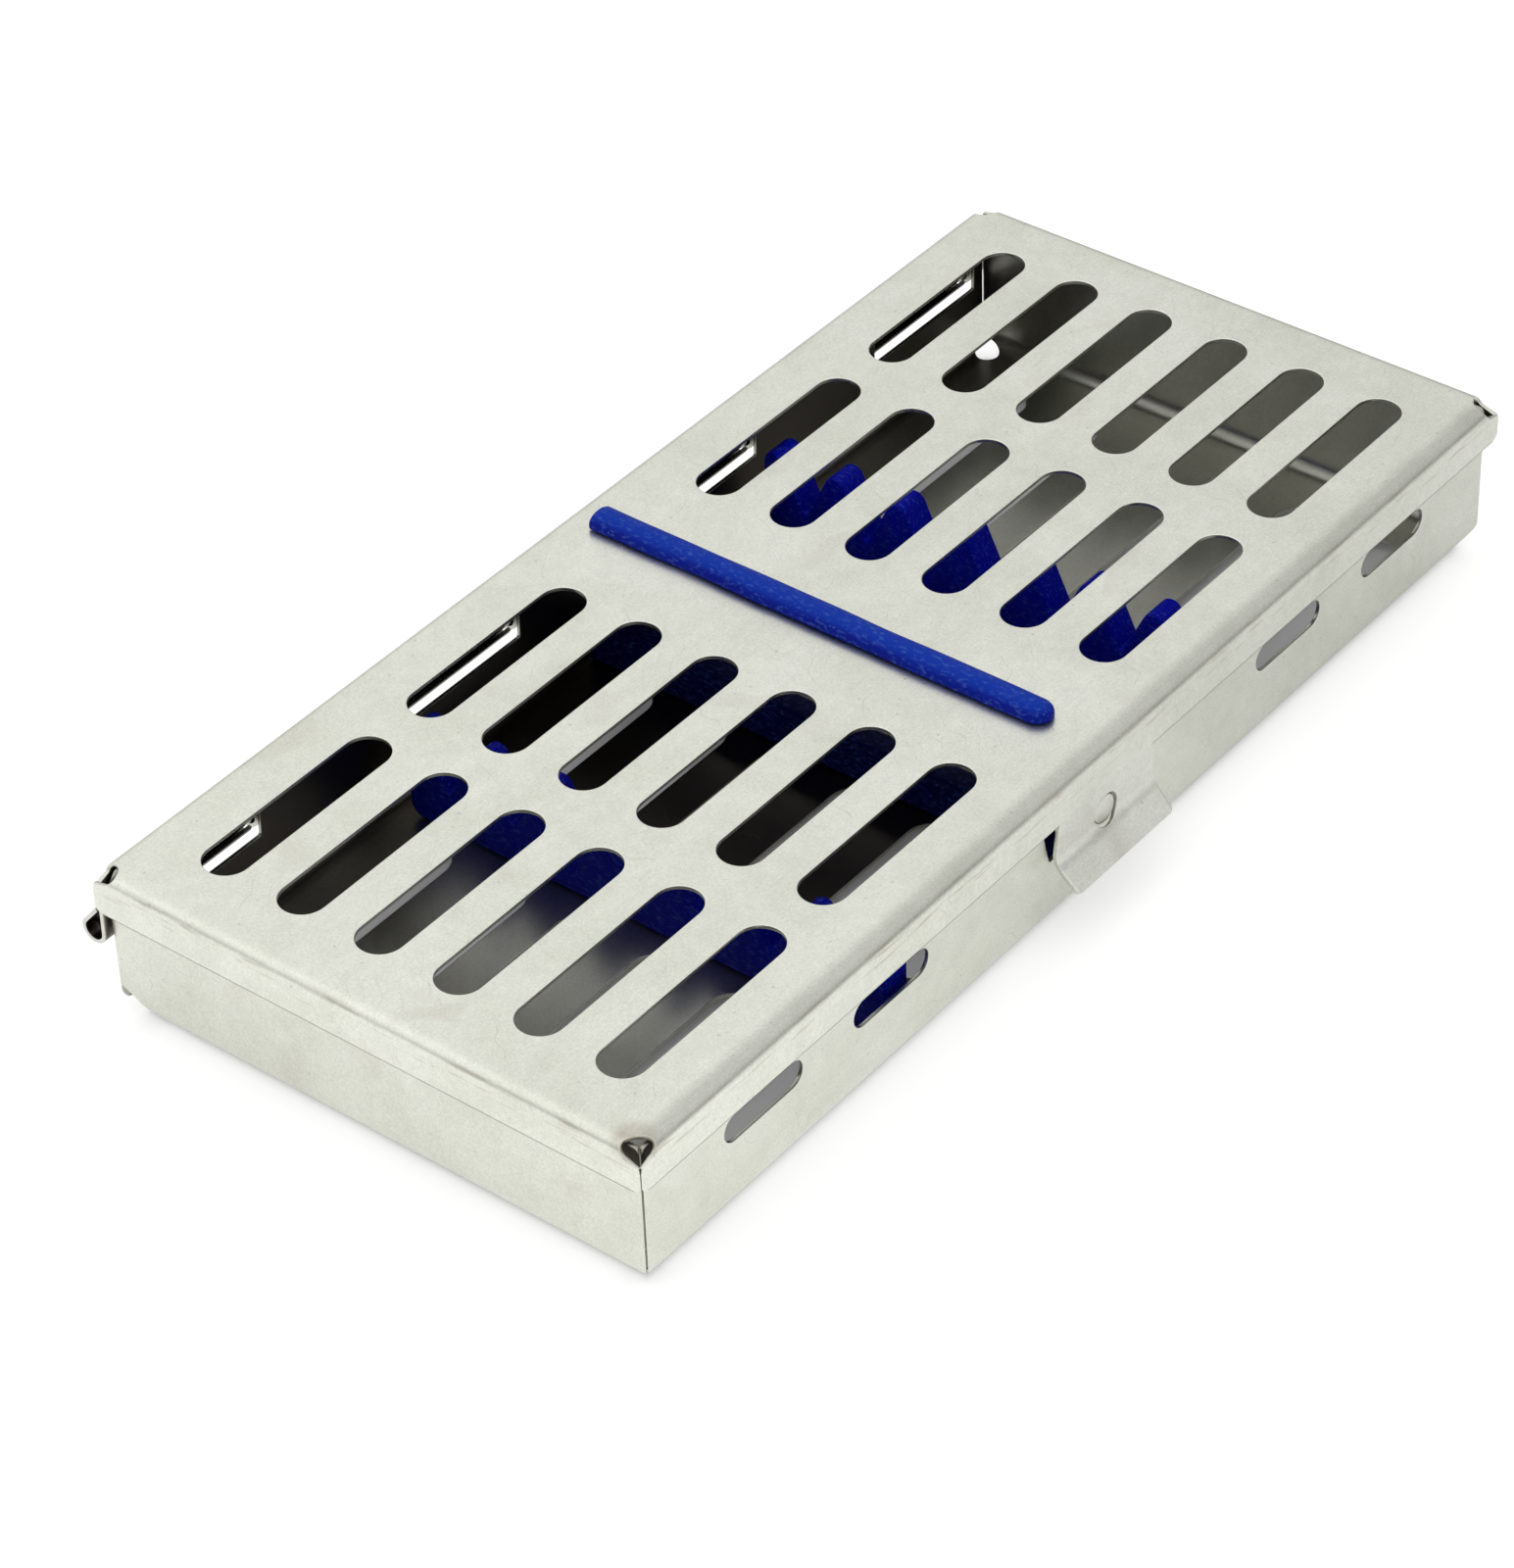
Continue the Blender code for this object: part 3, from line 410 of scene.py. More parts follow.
def flap(inner, outward, flat, fold, rows, ends, holes=()):
    # one turned-up side: the net (u along the fold line, s away from it) is rolled round the bend and then
    # stands straight. ends holds (half length at s) for the low and the high end; the last four columns of
    # the net are stretched evenly so that the free ends follow the seam and the relief.
    middle = fold["middle"][0 if outward[0] == 0 else 1]
    way = outward[1] - outward[0]            # along x the cross of along and outward has to point up
    inner = np.sort((np.asarray(inner) - middle) * way)
    low, high = ends[::way]
    feet = [end(np.zeros(1))[0] for end in (low, high)]
    full = high(rows[-1:] - 4 * mm)[0]       # half length where the end runs straight
    base = inner[-5]
    us = np.sort(np.concatenate([ringSteps - feet[0], inner, feet[1] - ringSteps]))
    wide = np.abs(us) > base
    foot = np.where(us < 0, feet[0], feet[1])[wide]
    us[wide] = np.sign(us[wide]) * (base + (np.abs(us[wide]) - base) * (full - base) / (foot - base))
    net, faces = sheetNet(us, rows, holes)
    u, s = net.T
    reach = np.where(u > 0, high(s), low(s))
    share = np.clip((np.abs(u) - base) / (full - base), 0, 1)
    mitred = np.clip((s - fold["mitred"]) / mm, 0, 1) * np.clip((rows[-1] - s) / mm, 0, 1)
    slant = np.where(share > 0.999, mitred, 0)
    u = np.where(share > 0, np.sign(u) * (base + share * (reach - base)), u)
    radius, arc = fold["radius"], fold["radius"] * math.pi / 2
    turn = np.clip(s, 0, arc) / radius
    out = flat + radius * np.sin(turn)
    rise = radius * (1 - np.cos(turn)) + np.maximum(s - arc, 0)
    along = np.array([outward[1], -outward[0]])
    xy = u[:, None] * along + out[:, None] * np.array(outward) + fold["middle"]
    return np.column_stack([xy, fold["level"] + fold["up"] * rise, slant]), faces


def flat4(plate, level):
    # the plate's points at their level, with an upright rim
    return np.column_stack([plate, np.full(len(plate), level), np.zeros(len(plate))])


def carried(section, *stations):
    # a closed section of (x, z) points carried along stations: centre x, y, centre z, scale across and scale
    # up, each one value or one for every station; a flat face closes each end
    section, stations = np.asarray(section, float), np.stack(np.broadcast_arrays(*stations), -1)
    k, n = len(section), len(stations)
    x = stations[:, None, 0] + section[None, :, 0] * stations[:, None, 3]
    z = stations[:, None, 2] + section[None, :, 1] * stations[:, None, 4]
    y = np.broadcast_to(stations[:, None, 1], x.shape)
    points = np.stack([x, y, z], -1).reshape(-1, 3)
    i, j = np.meshgrid(np.arange(n - 1), np.arange(k), indexing="ij")
    a, b = i * k + j, i * k + (j + 1) % k
    sides = np.stack([b, a, a + k, b + k], -1).reshape(-1, 4).tolist()
    return points, sides + [list(range(k)), list(range(n * k - 1, (n - 1) * k - 1, -1))]


def turnedAbout(profile, steps):
    # a profile of (along, radius) turned a full round: along stays, radius times cosine and sine goes across
    profile = np.asarray(profile, float)
    angle = np.linspace(0, 2 * math.pi, steps, endpoint=False)
    along = np.repeat(profile[:, 0], steps)
    radius = np.repeat(profile[:, 1], steps)
    turn = np.tile(angle, len(profile))
    i, j = np.meshgrid(np.arange(len(profile) - 1), np.arange(steps), indexing="ij")
    a, b = i * steps + j, i * steps + (j + 1) % steps
    faces = np.stack([a, b, b + steps, a + steps], -1).reshape(-1, 4).tolist()
    faces += [list(range(steps - 1, -1, -1)), list(range((len(profile) - 1) * steps, len(profile) * steps))]
    return along, radius * np.cos(turn), radius * np.sin(turn), faces


def joined(*parts):
    # several closed surfaces as one list of points and faces
    points, faces, start = [], [], 0
    for piece, sides in parts:
        points.append(np.asarray(piece, float))
        faces += [[int(index) + start for index in face] for face in sides]
        start += len(piece)
    return np.concatenate(points), faces


def arcPoints(centre, radius, start, stop, steps):
    # points round the centre from one angle in degrees to another
    turn = np.radians(np.linspace(start, stop, steps + 1))
    return np.stack([centre[0] + radius * np.cos(turn), centre[1] + radius * np.sin(turn)], -1)


def lengthAlong(path):
    # distance of each point of the path from its start
    return np.concatenate([[0], np.cumsum(np.linalg.norm(np.diff(path, axis=0), axis=1))])


top = 23.2 * mm                        # the closed lid's upper face
sheet = 0.6 * mm
hingeLine = (43.4 * mm, 13.0 * mm)     # y and z of the wire
slotPitch = 12.15 * mm                 # from one column of slots to the next, in lid and floor

# lid: one blank, four flanges turned down, a round relief punched at each corner
lidShape = {
    "halfX": 90 * mm, "halfY": 42 * mm,
    "bend": 1.5 * mm, "depth": 6 * mm, "mitred": 2.2 * mm,
    "seam": 0.07 * mm, "corner": 1.0 * mm, "edge": 0.12 * mm,
    # corner reliefs at the latch side and at the hinge side: radius, how far past the bend line the centre
    # lies, how far they run down the corner, and out; the hinge flange's own ends stop shorter
    "reliefs": ((2.25 * mm, 0.6 * mm, 1.9 * mm, 1.2 * mm), (2.0 * mm, 0.5 * mm, 1.3 * mm, 1.1 * mm)),
    "hingeFlange": (2.0 * mm, 0.5 * mm, 2.0 * mm, 0.35 * mm),
    "slotHalf": 15.65 * mm, "slotRadius": 3.14 * mm,
    "slotRows": (-65.95 * mm, -28.65 * mm, 28.65 * mm, 65.95 * mm),
    "barSlot": (-30.1 * mm, 33.8 * mm), "barSlotRadius": 1.1 * mm,
}


def slotHoles(rows, halves, radius, shift, margins):
    # six columns of slots in each row; margins are how far the box reaches past a slot's end and middle
    return [hole(row, (column - 2.5) * slotPitch + shift, (half + margins[0], margins[1]),
                 (half - radius, 0), radius)
            for row, half in zip(rows, halves) for column in range(6)]


def lidPiece():
    # the middle surface: a flat plate with its slots and corner bites, welded to four flaps that are rolled
    # down round the bend; it is then given its thickness
    shape = lidShape
    radius = shape["bend"] - sheet / 2
    flatX, flatY = shape["halfX"] - shape["bend"], shape["halfY"] - shape["bend"]
    arc = radius * math.pi / 2
    length = arc + shape["depth"] - shape["bend"]
    fold = {"radius": radius, "level": top - sheet / 2, "up": -1, "middle": (0, 0), "mitred": shape["mitred"]}

    def freeEnd(half, relief):
        # the free end: a stretched circle from the punched relief down to where it meets the mitre line,
        # then the mitre line less the seam, and a small quarter round at the lower corner
        bite, past, tall, reach = relief
        wide = (reach - past + math.sqrt(bite ** 2 - past ** 2)) / math.sqrt(1 - (past / tall) ** 2)

        def end(s):
            turn = np.clip(s / radius, 0, math.pi / 2)
            mitre = half + radius * np.sin(turn) - shape["seam"]
            punched = half + reach - wide * np.sqrt(np.maximum(1 - ((s - past) / tall) ** 2, 0))
            low = np.clip(s - (length - shape["corner"]), 0, shape["corner"])
            edge = np.where(s < past + tall, np.minimum(mitre, punched), mitre)
            return edge - shape["corner"] + np.sqrt(shape["corner"] ** 2 - low ** 2)
        return end

    steps = 6                          # net lines between the slots' part of the net and the bend line
    inX, inY = 85.3 * mm, 37.5 * mm
    xs = lines(-flatX, (-inX, steps), (inX, 170), (flatX, steps))
    ys = lines(-flatY, (-inY, steps), (inY, 75), (flatY, steps))
    holes = slotHoles(shape["slotRows"], [shape["slotHalf"]] * 4, shape["slotRadius"], 0,
                      (2.2 * mm, 5.1 * mm))
    (slotLow, slotHigh), slotRadius = shape["barSlot"], shape["barSlotRadius"]
    holes.append({"box": ((-3.1 * mm, 3.1 * mm), (slotLow - 2.4 * mm, slotHigh + 2.6 * mm)),
                  "core": ((0, 0), (slotLow + slotRadius, slotHigh - slotRadius)), "radius": slotRadius})
    bites = []
    for sideU in (-1, 1):
        for sideV, (bite, past, _, _) in zip((-1, 1), shape["reliefs"]):
            start = math.asin(past / bite)
            turn = np.linspace(math.pi + start, 1.5 * math.pi - start, 2 * steps + 1)
            rim = np.stack([sideU * (flatX + past + bite * np.cos(turn)),
                            sideV * (flatY + past + bite * np.sin(turn))], -1)
            bites.append((sideU, sideV, steps, rim))
    plate, faces = sheetNet(xs, ys, holes, bites)
    parts = [(flat4(plate, fold["level"]), faces)]
    rows = lines(0, (arc, 10), (length - 1.1 * mm, 5), (length - 0.5 * mm, 4), (length - 0.2 * mm, 3),
                 (length, 4))
    near, far = shape["reliefs"]
    for outward, relief in (((0, -1), near), ((0, 1), shape["hingeFlange"])):
        parts.append(flap(xs[steps:-steps], outward, flatY, fold, rows, [freeEnd(flatX, relief)] * 2))
    for outward in ((-1, 0), (1, 0)):
        ends = [freeEnd(flatY, near), freeEnd(flatY, far)]
        parts.append(flap(ys[steps:-steps], outward, flatX, fold, rows, ends))
    points, faces = weld(parts)
    return sheetSolid(points, faces, sheet, shape["edge"])


# painted shade: the lid's underside takes the dark inner colour at a large share; cubed so the cut edges stay
# bright
lidSteel = satinStainlessSteel("satin rolled stainless steel, lid", innerShadeShare=0.85)
points, faces, inner = lidPiece()
newPiece("lid_sheet", points, faces, lidSteel, "lid_body", "lid", inner=inner ** 3)      # cut edges stay bright
print("lid:", len(faces), "faces")

# tray: floor and four walls from one blank, with slotted front wall and hinge windows
trayShape = {
    "halfX": 88.5 * mm, "front": -40.8 * mm, "back": 41.1 * mm,
    "bend": 3 * mm, "floor": 1.2 * mm, "rim": 22.3 * mm, "mitred": 2.7 * mm,
    "seam": 0.13 * mm, "edge": 0.1 * mm,
    # height of the corner reliefs; the one between hinge wall and near end wall is open higher
    "reliefRadius": 1.7 * mm, "reliefTall": 2.7 * mm, "openTall": 5.0 * mm,
    "corner": 0.5 * mm, "hingeCorner": 3.2 * mm,        # round of the wall ends at the rim
    "slotRadius": 3.25 * mm, "slotShift": -1.5 * mm,
    "slotRows": (-61.5 * mm, -16 * mm, 16 * mm, 61.5 * mm),
    "slotHalves": (18.5 * mm, 13 * mm, 13 * mm, 18.5 * mm),
    # slots for the feet of the near comb, the rest bar and the far comb
    "footSlots": (-38.1 * mm, 0, 34.8 * mm), "footSlotHalf": 29.2 * mm, "footSlotRadius": 1.1 * mm,
    "wallSlots": (-66.475 * mm, -42.075 * mm, 42.075 * mm, 66.475 * mm),
    "wallSlotHeight": 13.5 * mm, "wallSlotHalf": 5.375 * mm, "wallSlotRadius": 1.95 * mm,
    # catch slits: middle, half width at the top, lower and upper height of the core, and lean of the outer side
    "slit": 9.8 * mm, "slitHalf": 1.2 * mm, "slitHeights": (11.5 * mm, 15.3 * mm), "slitLean": 0.24,
    "windows": (-74.25 * mm, -24.75 * mm, 24.75 * mm, 74.25 * mm),
    "windowHalf": 11.25 * mm, "windowHeights": (11.65 * mm, 15.5 * mm),
    "cutRadius": 0.3 * mm,                              # corner radius of slits and windows
}


def trayPiece():
    # the same for the tray, with the flaps rolled up and openings in two of them
    shape = trayShape
    radius = shape["bend"] - sheet / 2
    middleY, halfY = (shape["front"] + shape["back"]) / 2, (shape["back"] - shape["front"]) / 2
    flatX, flatY = shape["halfX"] - shape["bend"], halfY - shape["bend"]
    arc = radius * math.pi / 2
    fold = {"radius": radius, "level": shape["floor"] + sheet / 2, "up": 1, "middle": (0, middleY),
            "mitred": shape["mitred"]}
    wallFoot = fold["level"] + radius          # height at which the wall runs straight
    length = arc + shape["rim"] - wallFoot
    bite = shape["reliefRadius"]

    def freeEnd(half, tall, corner=shape["corner"]):
        # the free end: a stretched circle from the punched relief up to the mitre line, then the mitre
        # line less the seam, and a quarter round at the rim
        def end(s):
            mitre = half + radius * np.sin(np.clip(s / radius, 0, math.pi / 2)) - shape["seam"]
            out = radius * math.sin(min(tall / radius, math.pi / 2)) - shape["seam"]
            relief = half + out - (out + bite) * np.sqrt(np.maximum(1 - (s / tall) ** 2, 0))
            low = np.clip(s - (length - corner), 0, corner)
            edge = np.where(s < tall, np.minimum(mitre, relief), mitre)
            return edge - corner + np.sqrt(corner ** 2 - low ** 2)
        return end

    steps = 3                                  # net lines between the slots' part of the net and the bend line
    inX = 83.2 * mm
    xs = lines(-flatX, (-inX, steps), (inX, 166), (flatX, steps))
    ys = lines(-flatY, (flatY, 74))
    holes = slotHoles(shape["slotRows"], shape["slotHalves"], shape["slotRadius"], shape["slotShift"],
                      (1.4 * mm, 5.0 * mm))
    for x in shape["footSlots"]:
        holes.append(hole(x, 0, (1.9 * mm, 33 * mm), (0, shape["footSlotHalf"]), shape["footSlotRadius"]))
    turn = np.linspace(math.pi, 1.5 * math.pi, 2 * steps + 1)
    bites = []
    for sideU in (-1, 1):
        for sideV in (-1, 1):
            rim = np.stack([sideU * (flatX + bite * np.cos(turn)), sideV * (flatY + bite * np.sin(turn))], -1)
            bites.append((sideU, sideV, steps, rim))
    plate, faces = sheetNet(xs, ys, holes, bites)
    plate[:, 1] += middleY
    parts = [(flat4(plate, fold["level"]), faces)]

    def up(z):
        # length along the wall at a height
        return arc + z - wallFoot

    netFoot, netMiddle, netTop = 9.2 * mm, 17.2 * mm, 18.2 * mm      # the part of the walls that holds openings
    rows = lines(0, (0.6 * arc, 9), (arc, 5), (up(netFoot - mm), 4), (up(netTop), 10), (up(21.6 * mm), 3),
                 (up(22.0 * mm), 2), (length, 4))

    def opening(u, boxU, boxTop, coreU, heights, cutRadius, **more):
        # an opening in a wall, its box from the net's foot to its own top
        return {"box": ((u - boxU, u + boxU), (up(netFoot), up(boxTop))),
                "core": ((u - coreU, u + coreU), (up(heights[0]), up(heights[1]))), "radius": cutRadius, **more}

    def leanIn(ring):
        # the catch slits narrow towards the floor: their outer side leans in by a quarter of the drop
        side, away = np.sign(ring[:, 0]), np.abs(ring[:, 0])
        drop = np.clip(up(15.6 * mm) - ring[:, 1], 0, 4.4 * mm)
        share = np.clip((away - 9.6 * mm) / (0.8 * mm), 0, 1) * np.clip((13.0 * mm - away) / mm, 0, 1)
        return np.stack([ring[:, 0] - side * share * drop * shape["slitLean"], ring[:, 1]], -1)

    slotHeights, cut = (shape["wallSlotHeight"],) * 2, shape["cutRadius"]
    frontHoles = [opening(x, 9.5 * mm, netMiddle, shape["wallSlotHalf"], slotHeights, shape["wallSlotRadius"])
                  for x in shape["wallSlots"]]
    frontHoles += [opening(side * shape["slit"], 3.6 * mm, netMiddle, shape["slitHalf"], shape["slitHeights"],
                           cut, lean=leanIn) for side in (-1, 1)]
    backHoles = [opening(x, 12.9 * mm, netTop, shape["windowHalf"], shape["windowHeights"], cut)
                 for x in shape["windows"]]
    small, large, rounded = shape["reliefTall"], shape["openTall"], shape["hingeCorner"]
    inner = xs[steps:-steps]
    parts.append(flap(inner, (0, -1), flatY, fold, rows, [freeEnd(flatX, small)] * 2, frontHoles))
    parts.append(flap(inner, (0, 1), flatY, fold, rows, [freeEnd(flatX, small, rounded)] * 2, backHoles))
    for outward, tall in (((-1, 0), large), ((1, 0), small)):
        ends = [freeEnd(flatY, small), freeEnd(flatY, tall, rounded)]
        parts.append(flap(ys[steps:-steps] + middleY, outward, flatX, fold, rows, ends))
    points, faces = weld(parts)
    points, faces, inner = sheetSolid(points, faces, sheet, shape["edge"], plusInside=True)
    # painted shade: the inner skin is darker at the hinge wall and on the floor of the middle bays, and the
    # rims under the lid's corner reliefs take the inside's dark tone too
    x, y, z = points.T
    hingeWallShade = np.clip((y - 37 * mm) / (2 * mm), 0, 1)
    middleFloorShade = np.clip((39 * mm - np.abs(x)) / (6 * mm), 0, 1) * np.clip((6 * mm - z) / (2 * mm), 0, 1)
    inner *= 1 + 1.8 * hingeWallShade + 1.7 * middleFloorShade
    reliefRimShade = (np.clip((z - 19.6 * mm) / mm, 0, 1) * np.clip((np.abs(x) - 85.5 * mm) / mm, 0, 1)
             * np.clip((np.abs(y - middleY) - 38 * mm) / mm, 0, 1))
    return points, faces, np.maximum(inner, 0.9 * reliefRimShade)


traySteel = satinStainlessSteel("satin rolled stainless steel, tray", "#dcddd3", "#d0d2c6", innerShadeShare=0.35)
points, faces, inner = trayPiece()
newPiece("tray_sheet", points, faces, traySteel, "tray_body", "tray", inner=inner)
print("tray:", len(faces), "faces")

# hinge: curled tabs of both sheets round one wire
hingeShape = {
    "curl": 1.605 * mm, "tab": 0.55 * mm, "edge": 0.08 * mm,       # radius of a roll's middle, sheet, its edge
    "trayTabs": ((-85.3, -63.2), (-35.8, -13.7), (13.7, 35.8), (63.2, 85.3)),
    "lidTabs": ((-89.4, -86.3), (-62.2, -36.8), (-12.7, 12.7), (36.8, 62.2), (86.3, 89.4)),
    "nose": (42.5 * mm, 16.62 * mm),           # where the lid's roll ends
    "stem": (41.7 * mm, 16.9 * mm),            # where it leaves the lid's flange
    "wallRound": 0.895 * mm, "wallY": 40.8 * mm, "wallZ": 15.5 * mm,
    "pinRadius": 1.05 * mm, "pinHalf": 87.4 * mm, "pinEdge": 0.35 * mm,
}


def curledTab(path, low, high, body, name, replaced):
    # a strip whose long section follows the path, by length along it
    run = lengthAlong(path)
    edge = np.array([0.12, 0.35]) * mm
    us = np.concatenate([[low], low + edge, np.linspace(low + mm, high - mm, 5), high - edge[::-1], [high]])
    vs = np.unique(np.concatenate([run, edge, run[-1] - edge]))
    net, faces = sheetNet(us, vs)
    u, s = net.T
    points = np.stack([u, np.interp(s, run, path[:, 0]), np.interp(s, run, path[:, 1])], -1)
    points, faces, _ = sheetSolid(points, faces, hingeShape["tab"], hingeShape["edge"])
    # painted shade: the side of the roll that faces the tray and the bore round the wire take the tray's dark
    # inside tone
    away = np.hypot(points[:, 1] - hingeLine[0], points[:, 2] - hingeLine[1])
    inner = np.maximum(np.clip((43.6 * mm - points[:, 1]) / (1.2 * mm), 0, 1),
                       1.1 * np.clip((hingeShape["curl"] - 0.1 * mm - away) / (0.12 * mm), 0, 1))
    inner *= np.clip(np.minimum(points[:, 0] - low, high - points[:, 0]) / (0.3 * mm), 0, 1)
    newPiece(name, points, faces, tabSteel, body, replaced, inner=inner)


def tangentTurn(point, radius, side):
    # angle in degrees at which the straight from a point touches the circle round the hinge line
    y, z = point[0] - hingeLine[0], point[1] - hingeLine[1]
    return math.degrees(math.atan2(z, y) + side * math.acos(min(1, radius / math.hypot(y, z))))


curl, wallRound = hingeShape["curl"], hingeShape["wallRound"]
leave, meet = tangentTurn(hingeShape["nose"], curl, -1), tangentTurn(hingeShape["stem"], curl, 1)
lidPath = np.concatenate([[hingeShape["stem"]], arcPoints(hingeLine, curl, meet, leave + 360, 48),
                          [hingeShape["nose"]]])
wallCentre = (hingeShape["wallY"] + wallRound, hingeShape["wallZ"])
trayPath = np.concatenate([arcPoints(wallCentre, wallRound, 180, 270, 8),
                           arcPoints(hingeLine, curl, 90, -165, 44)])
tabSteel = satinStainlessSteel("curled stainless tab, hinge", "#d4d4cd", "#bdbeb6", (0.2, 0.34), 0.9)
for side, path in (("tray", trayPath), ("lid", lidPath)):
    for index, (low, high) in enumerate(hingeShape[side + "Tabs"], 1):
        curledTab(path, low * mm, high * mm, f"{side}_body", f"{side}_tab_{index}", f"{side}_knuckle_{index}")
r, h, edge = hingeShape["pinRadius"], hingeShape["pinHalf"], hingeShape["pinEdge"]
profile = np.concatenate([[(-h, 0.15 * mm)], arcPoints((-h + edge, r - edge), edge, 180, 90, 5),
                          arcPoints((h - edge, r - edge), edge, 90, 0, 5), [(h, 0.15 * mm)]])
x, y, z, faces = turnedAbout(profile, 40)
wireSteel = satinStainlessSteel("drawn stainless wire", "#c9c9c4", "#b4b4ae", (0.22, 0.3))
points = np.stack([x, hingeLine[0] + y, hingeLine[1] + z], -1)
newPiece("hinge_wire", points, faces, wireSteel, "tray_body", "hinge_pin")
print("hinge: 9 tabs and the wire")

# latch tongue and the button it snaps over
latchShape = {
    "neck": 9.7 * mm, "wide": 10.4 * mm, "lip": 10.1 * mm,        # half widths at the top, the knee and the tip
    "face": -41.71 * mm,         # a hundredth proud of the flange, whose edge the tongue's root covers
    "top": 17.6 * mm, "knee": 12.7 * mm, "bend": 3.4 * mm, "tip": -45.07 * mm,
    "corner": 0.7 * mm, "edge": 0.06 * mm,
    "hole": 2.4 * mm, "holeZ": 13.3 * mm,
    "headY": -41.9 * mm, "wallY": -41.1 * mm, "tailY": -39.9 * mm,      # the stud's head, collar and rivet tail
}


def tonguePiece():
    # straight down, round the knee and out at 45 degrees to the tip
    shape = latchShape
    arc = arcPoints((shape["face"] - shape["bend"], shape["knee"]), shape["bend"], 0, -45, 10)
    tip = (shape["tip"], arc[-1][1] + shape["tip"] - arc[-1][0])
    path = np.concatenate([[(shape["face"], shape["top"])], arc, [tip]])
    run = lengthAlong(path)
    total, holePlace, wide, corner = run[-1], shape["top"] - shape["holeZ"], shape["wide"], shape["corner"]
    boxFoot, boxTop = 1.2 * mm, 7.4 * mm
    vs = lines(0, (boxFoot, 4), (boxTop, 14), (total - 0.9 * mm, 8), (total - 0.3 * mm, 5), (total, 4))
    net, faces = sheetNet(np.linspace(-1, 1, 45) * wide, vs, [
        {"box": ((-3.6 * mm, 3.6 * mm), (boxFoot, boxTop)), "core": ((0, 0), (holePlace, holePlace)),
         "radius": shape["hole"]}])
    u, s = net.T
    width = np.interp(s, [0, run[1], total], [shape["neck"], wide, shape["lip"]])
    low = np.clip(s - (total - corner), 0, corner)
    width = width - corner + np.sqrt(corner ** 2 - low ** 2)
    far = np.clip((np.abs(u) - 4 * mm) / (wide - 4 * mm), 0, 1)
    u = u + np.sign(u) * far * (width - wide)
    points = np.stack([u, np.interp(s, run, path[:, 0]), np.interp(s, run, path[:, 1])], -1)
    return sheetSolid(points, faces, sheet, shape["edge"])


points, faces, _ = tonguePiece()
latchSteel = satinStainlessSteel("spring stainless tongue", "#dfe0d8", "#cfd0c8", (0.3, 0.4))
newPiece("latch_tongue_sheet", points, faces, latchSteel, "latch_body", "latch_tongue")

headY, wallY, tailY = latchShape["headY"], latchShape["wallY"], latchShape["tailY"]
profile = np.concatenate([
    [(headY, 0.1 * mm), (headY + 0.01 * mm, 1.0 * mm), (headY + 0.04 * mm, 1.5 * mm)],
    arcPoints((headY + 0.35 * mm, 1.8 * mm), 0.3 * mm, 180, 90, 6),
    [(wallY - 0.1 * mm, 2.1 * mm), (wallY, 2.05 * mm), (wallY, 0.9 * mm)],
    [(tailY, 0.9 * mm), (tailY, 1.45 * mm)],
    arcPoints((tailY + 0.2 * mm, 1.2 * mm), 0.3 * mm, 80, 0, 5),
    [(tailY + 0.5 * mm, 0.1 * mm)]])
y, x, z, faces = turnedAbout(profile, 56)
faces = [face[::-1] for face in faces]         # turned about y, the profile runs the other way round
studSteel = satinStainlessSteel("pressed stainless button", "#dcdcd6", "#c4c4be", (0.2, 0.3))
points = np.stack([x, y, latchShape["holeZ"] + z], -1)
newPiece("catch_stud", points, faces, studSteel, "tray_body", "catch_button")
print("latch: tongue and button")


# silicone: pressing bar in the lid, two combs and a rest bar in the tray
def roundedBox(halfWidth, low, high, radiusLow, radiusHigh, steps=6):
    # outline of a bar, corner radii given for its lower and its upper side
    corners = [((-halfWidth + radiusLow, low + radiusLow), radiusLow, 180),
               ((halfWidth - radiusLow, low + radiusLow), radiusLow, 270),
               ((halfWidth - radiusHigh, high - radiusHigh), radiusHigh, 0),
               ((-halfWidth + radiusHigh, high - radiusHigh), radiusHigh, 90)]
    return np.concatenate([arcPoints(centre, radius, start, start + 90, steps)
                           for centre, radius, start in corners])


def barStations(low, high, count, roundLow, roundHigh):
    # stations along y: the section shrinks as a quarter round over the end lengths
    ease = 1 - np.cos(np.linspace(0, math.pi / 2, 9))
    y = np.unique(np.concatenate([low + roundLow * ease, np.linspace(low + roundLow, high - roundHigh, count),
                                  high - roundHigh * ease]).round(7))
    near, far = np.clip((y - low) / roundLow, 0.02, 1), np.clip((high - y) / roundHigh, 0.02, 1)
    return y, np.sqrt(1 - (1 - near) ** 2) * np.sqrt(1 - (1 - far) ** 2)


barShape = {
    "half": 2.15 * mm, "side": 0.45 * mm,              # the bead: half width, upright part of its sides
    "base": 23.5 * mm, "crown": 25.2 * mm,             # its lower and upper height
    "low": -33.8 * mm, "high": 37.5 * mm, "nose": 2.2 * mm,
    "sway": 0.03 * mm,                                 # pulled through by hand, the bead lies a little wavy
    "innerHalf": 2.3 * mm, "innerDepth": 5 * mm, "innerTop": 22.3 * mm, "innerHigh": 33.5 * mm,
    "neckHalf": 0.8 * mm, "neckLow": -29.8 * mm,
}


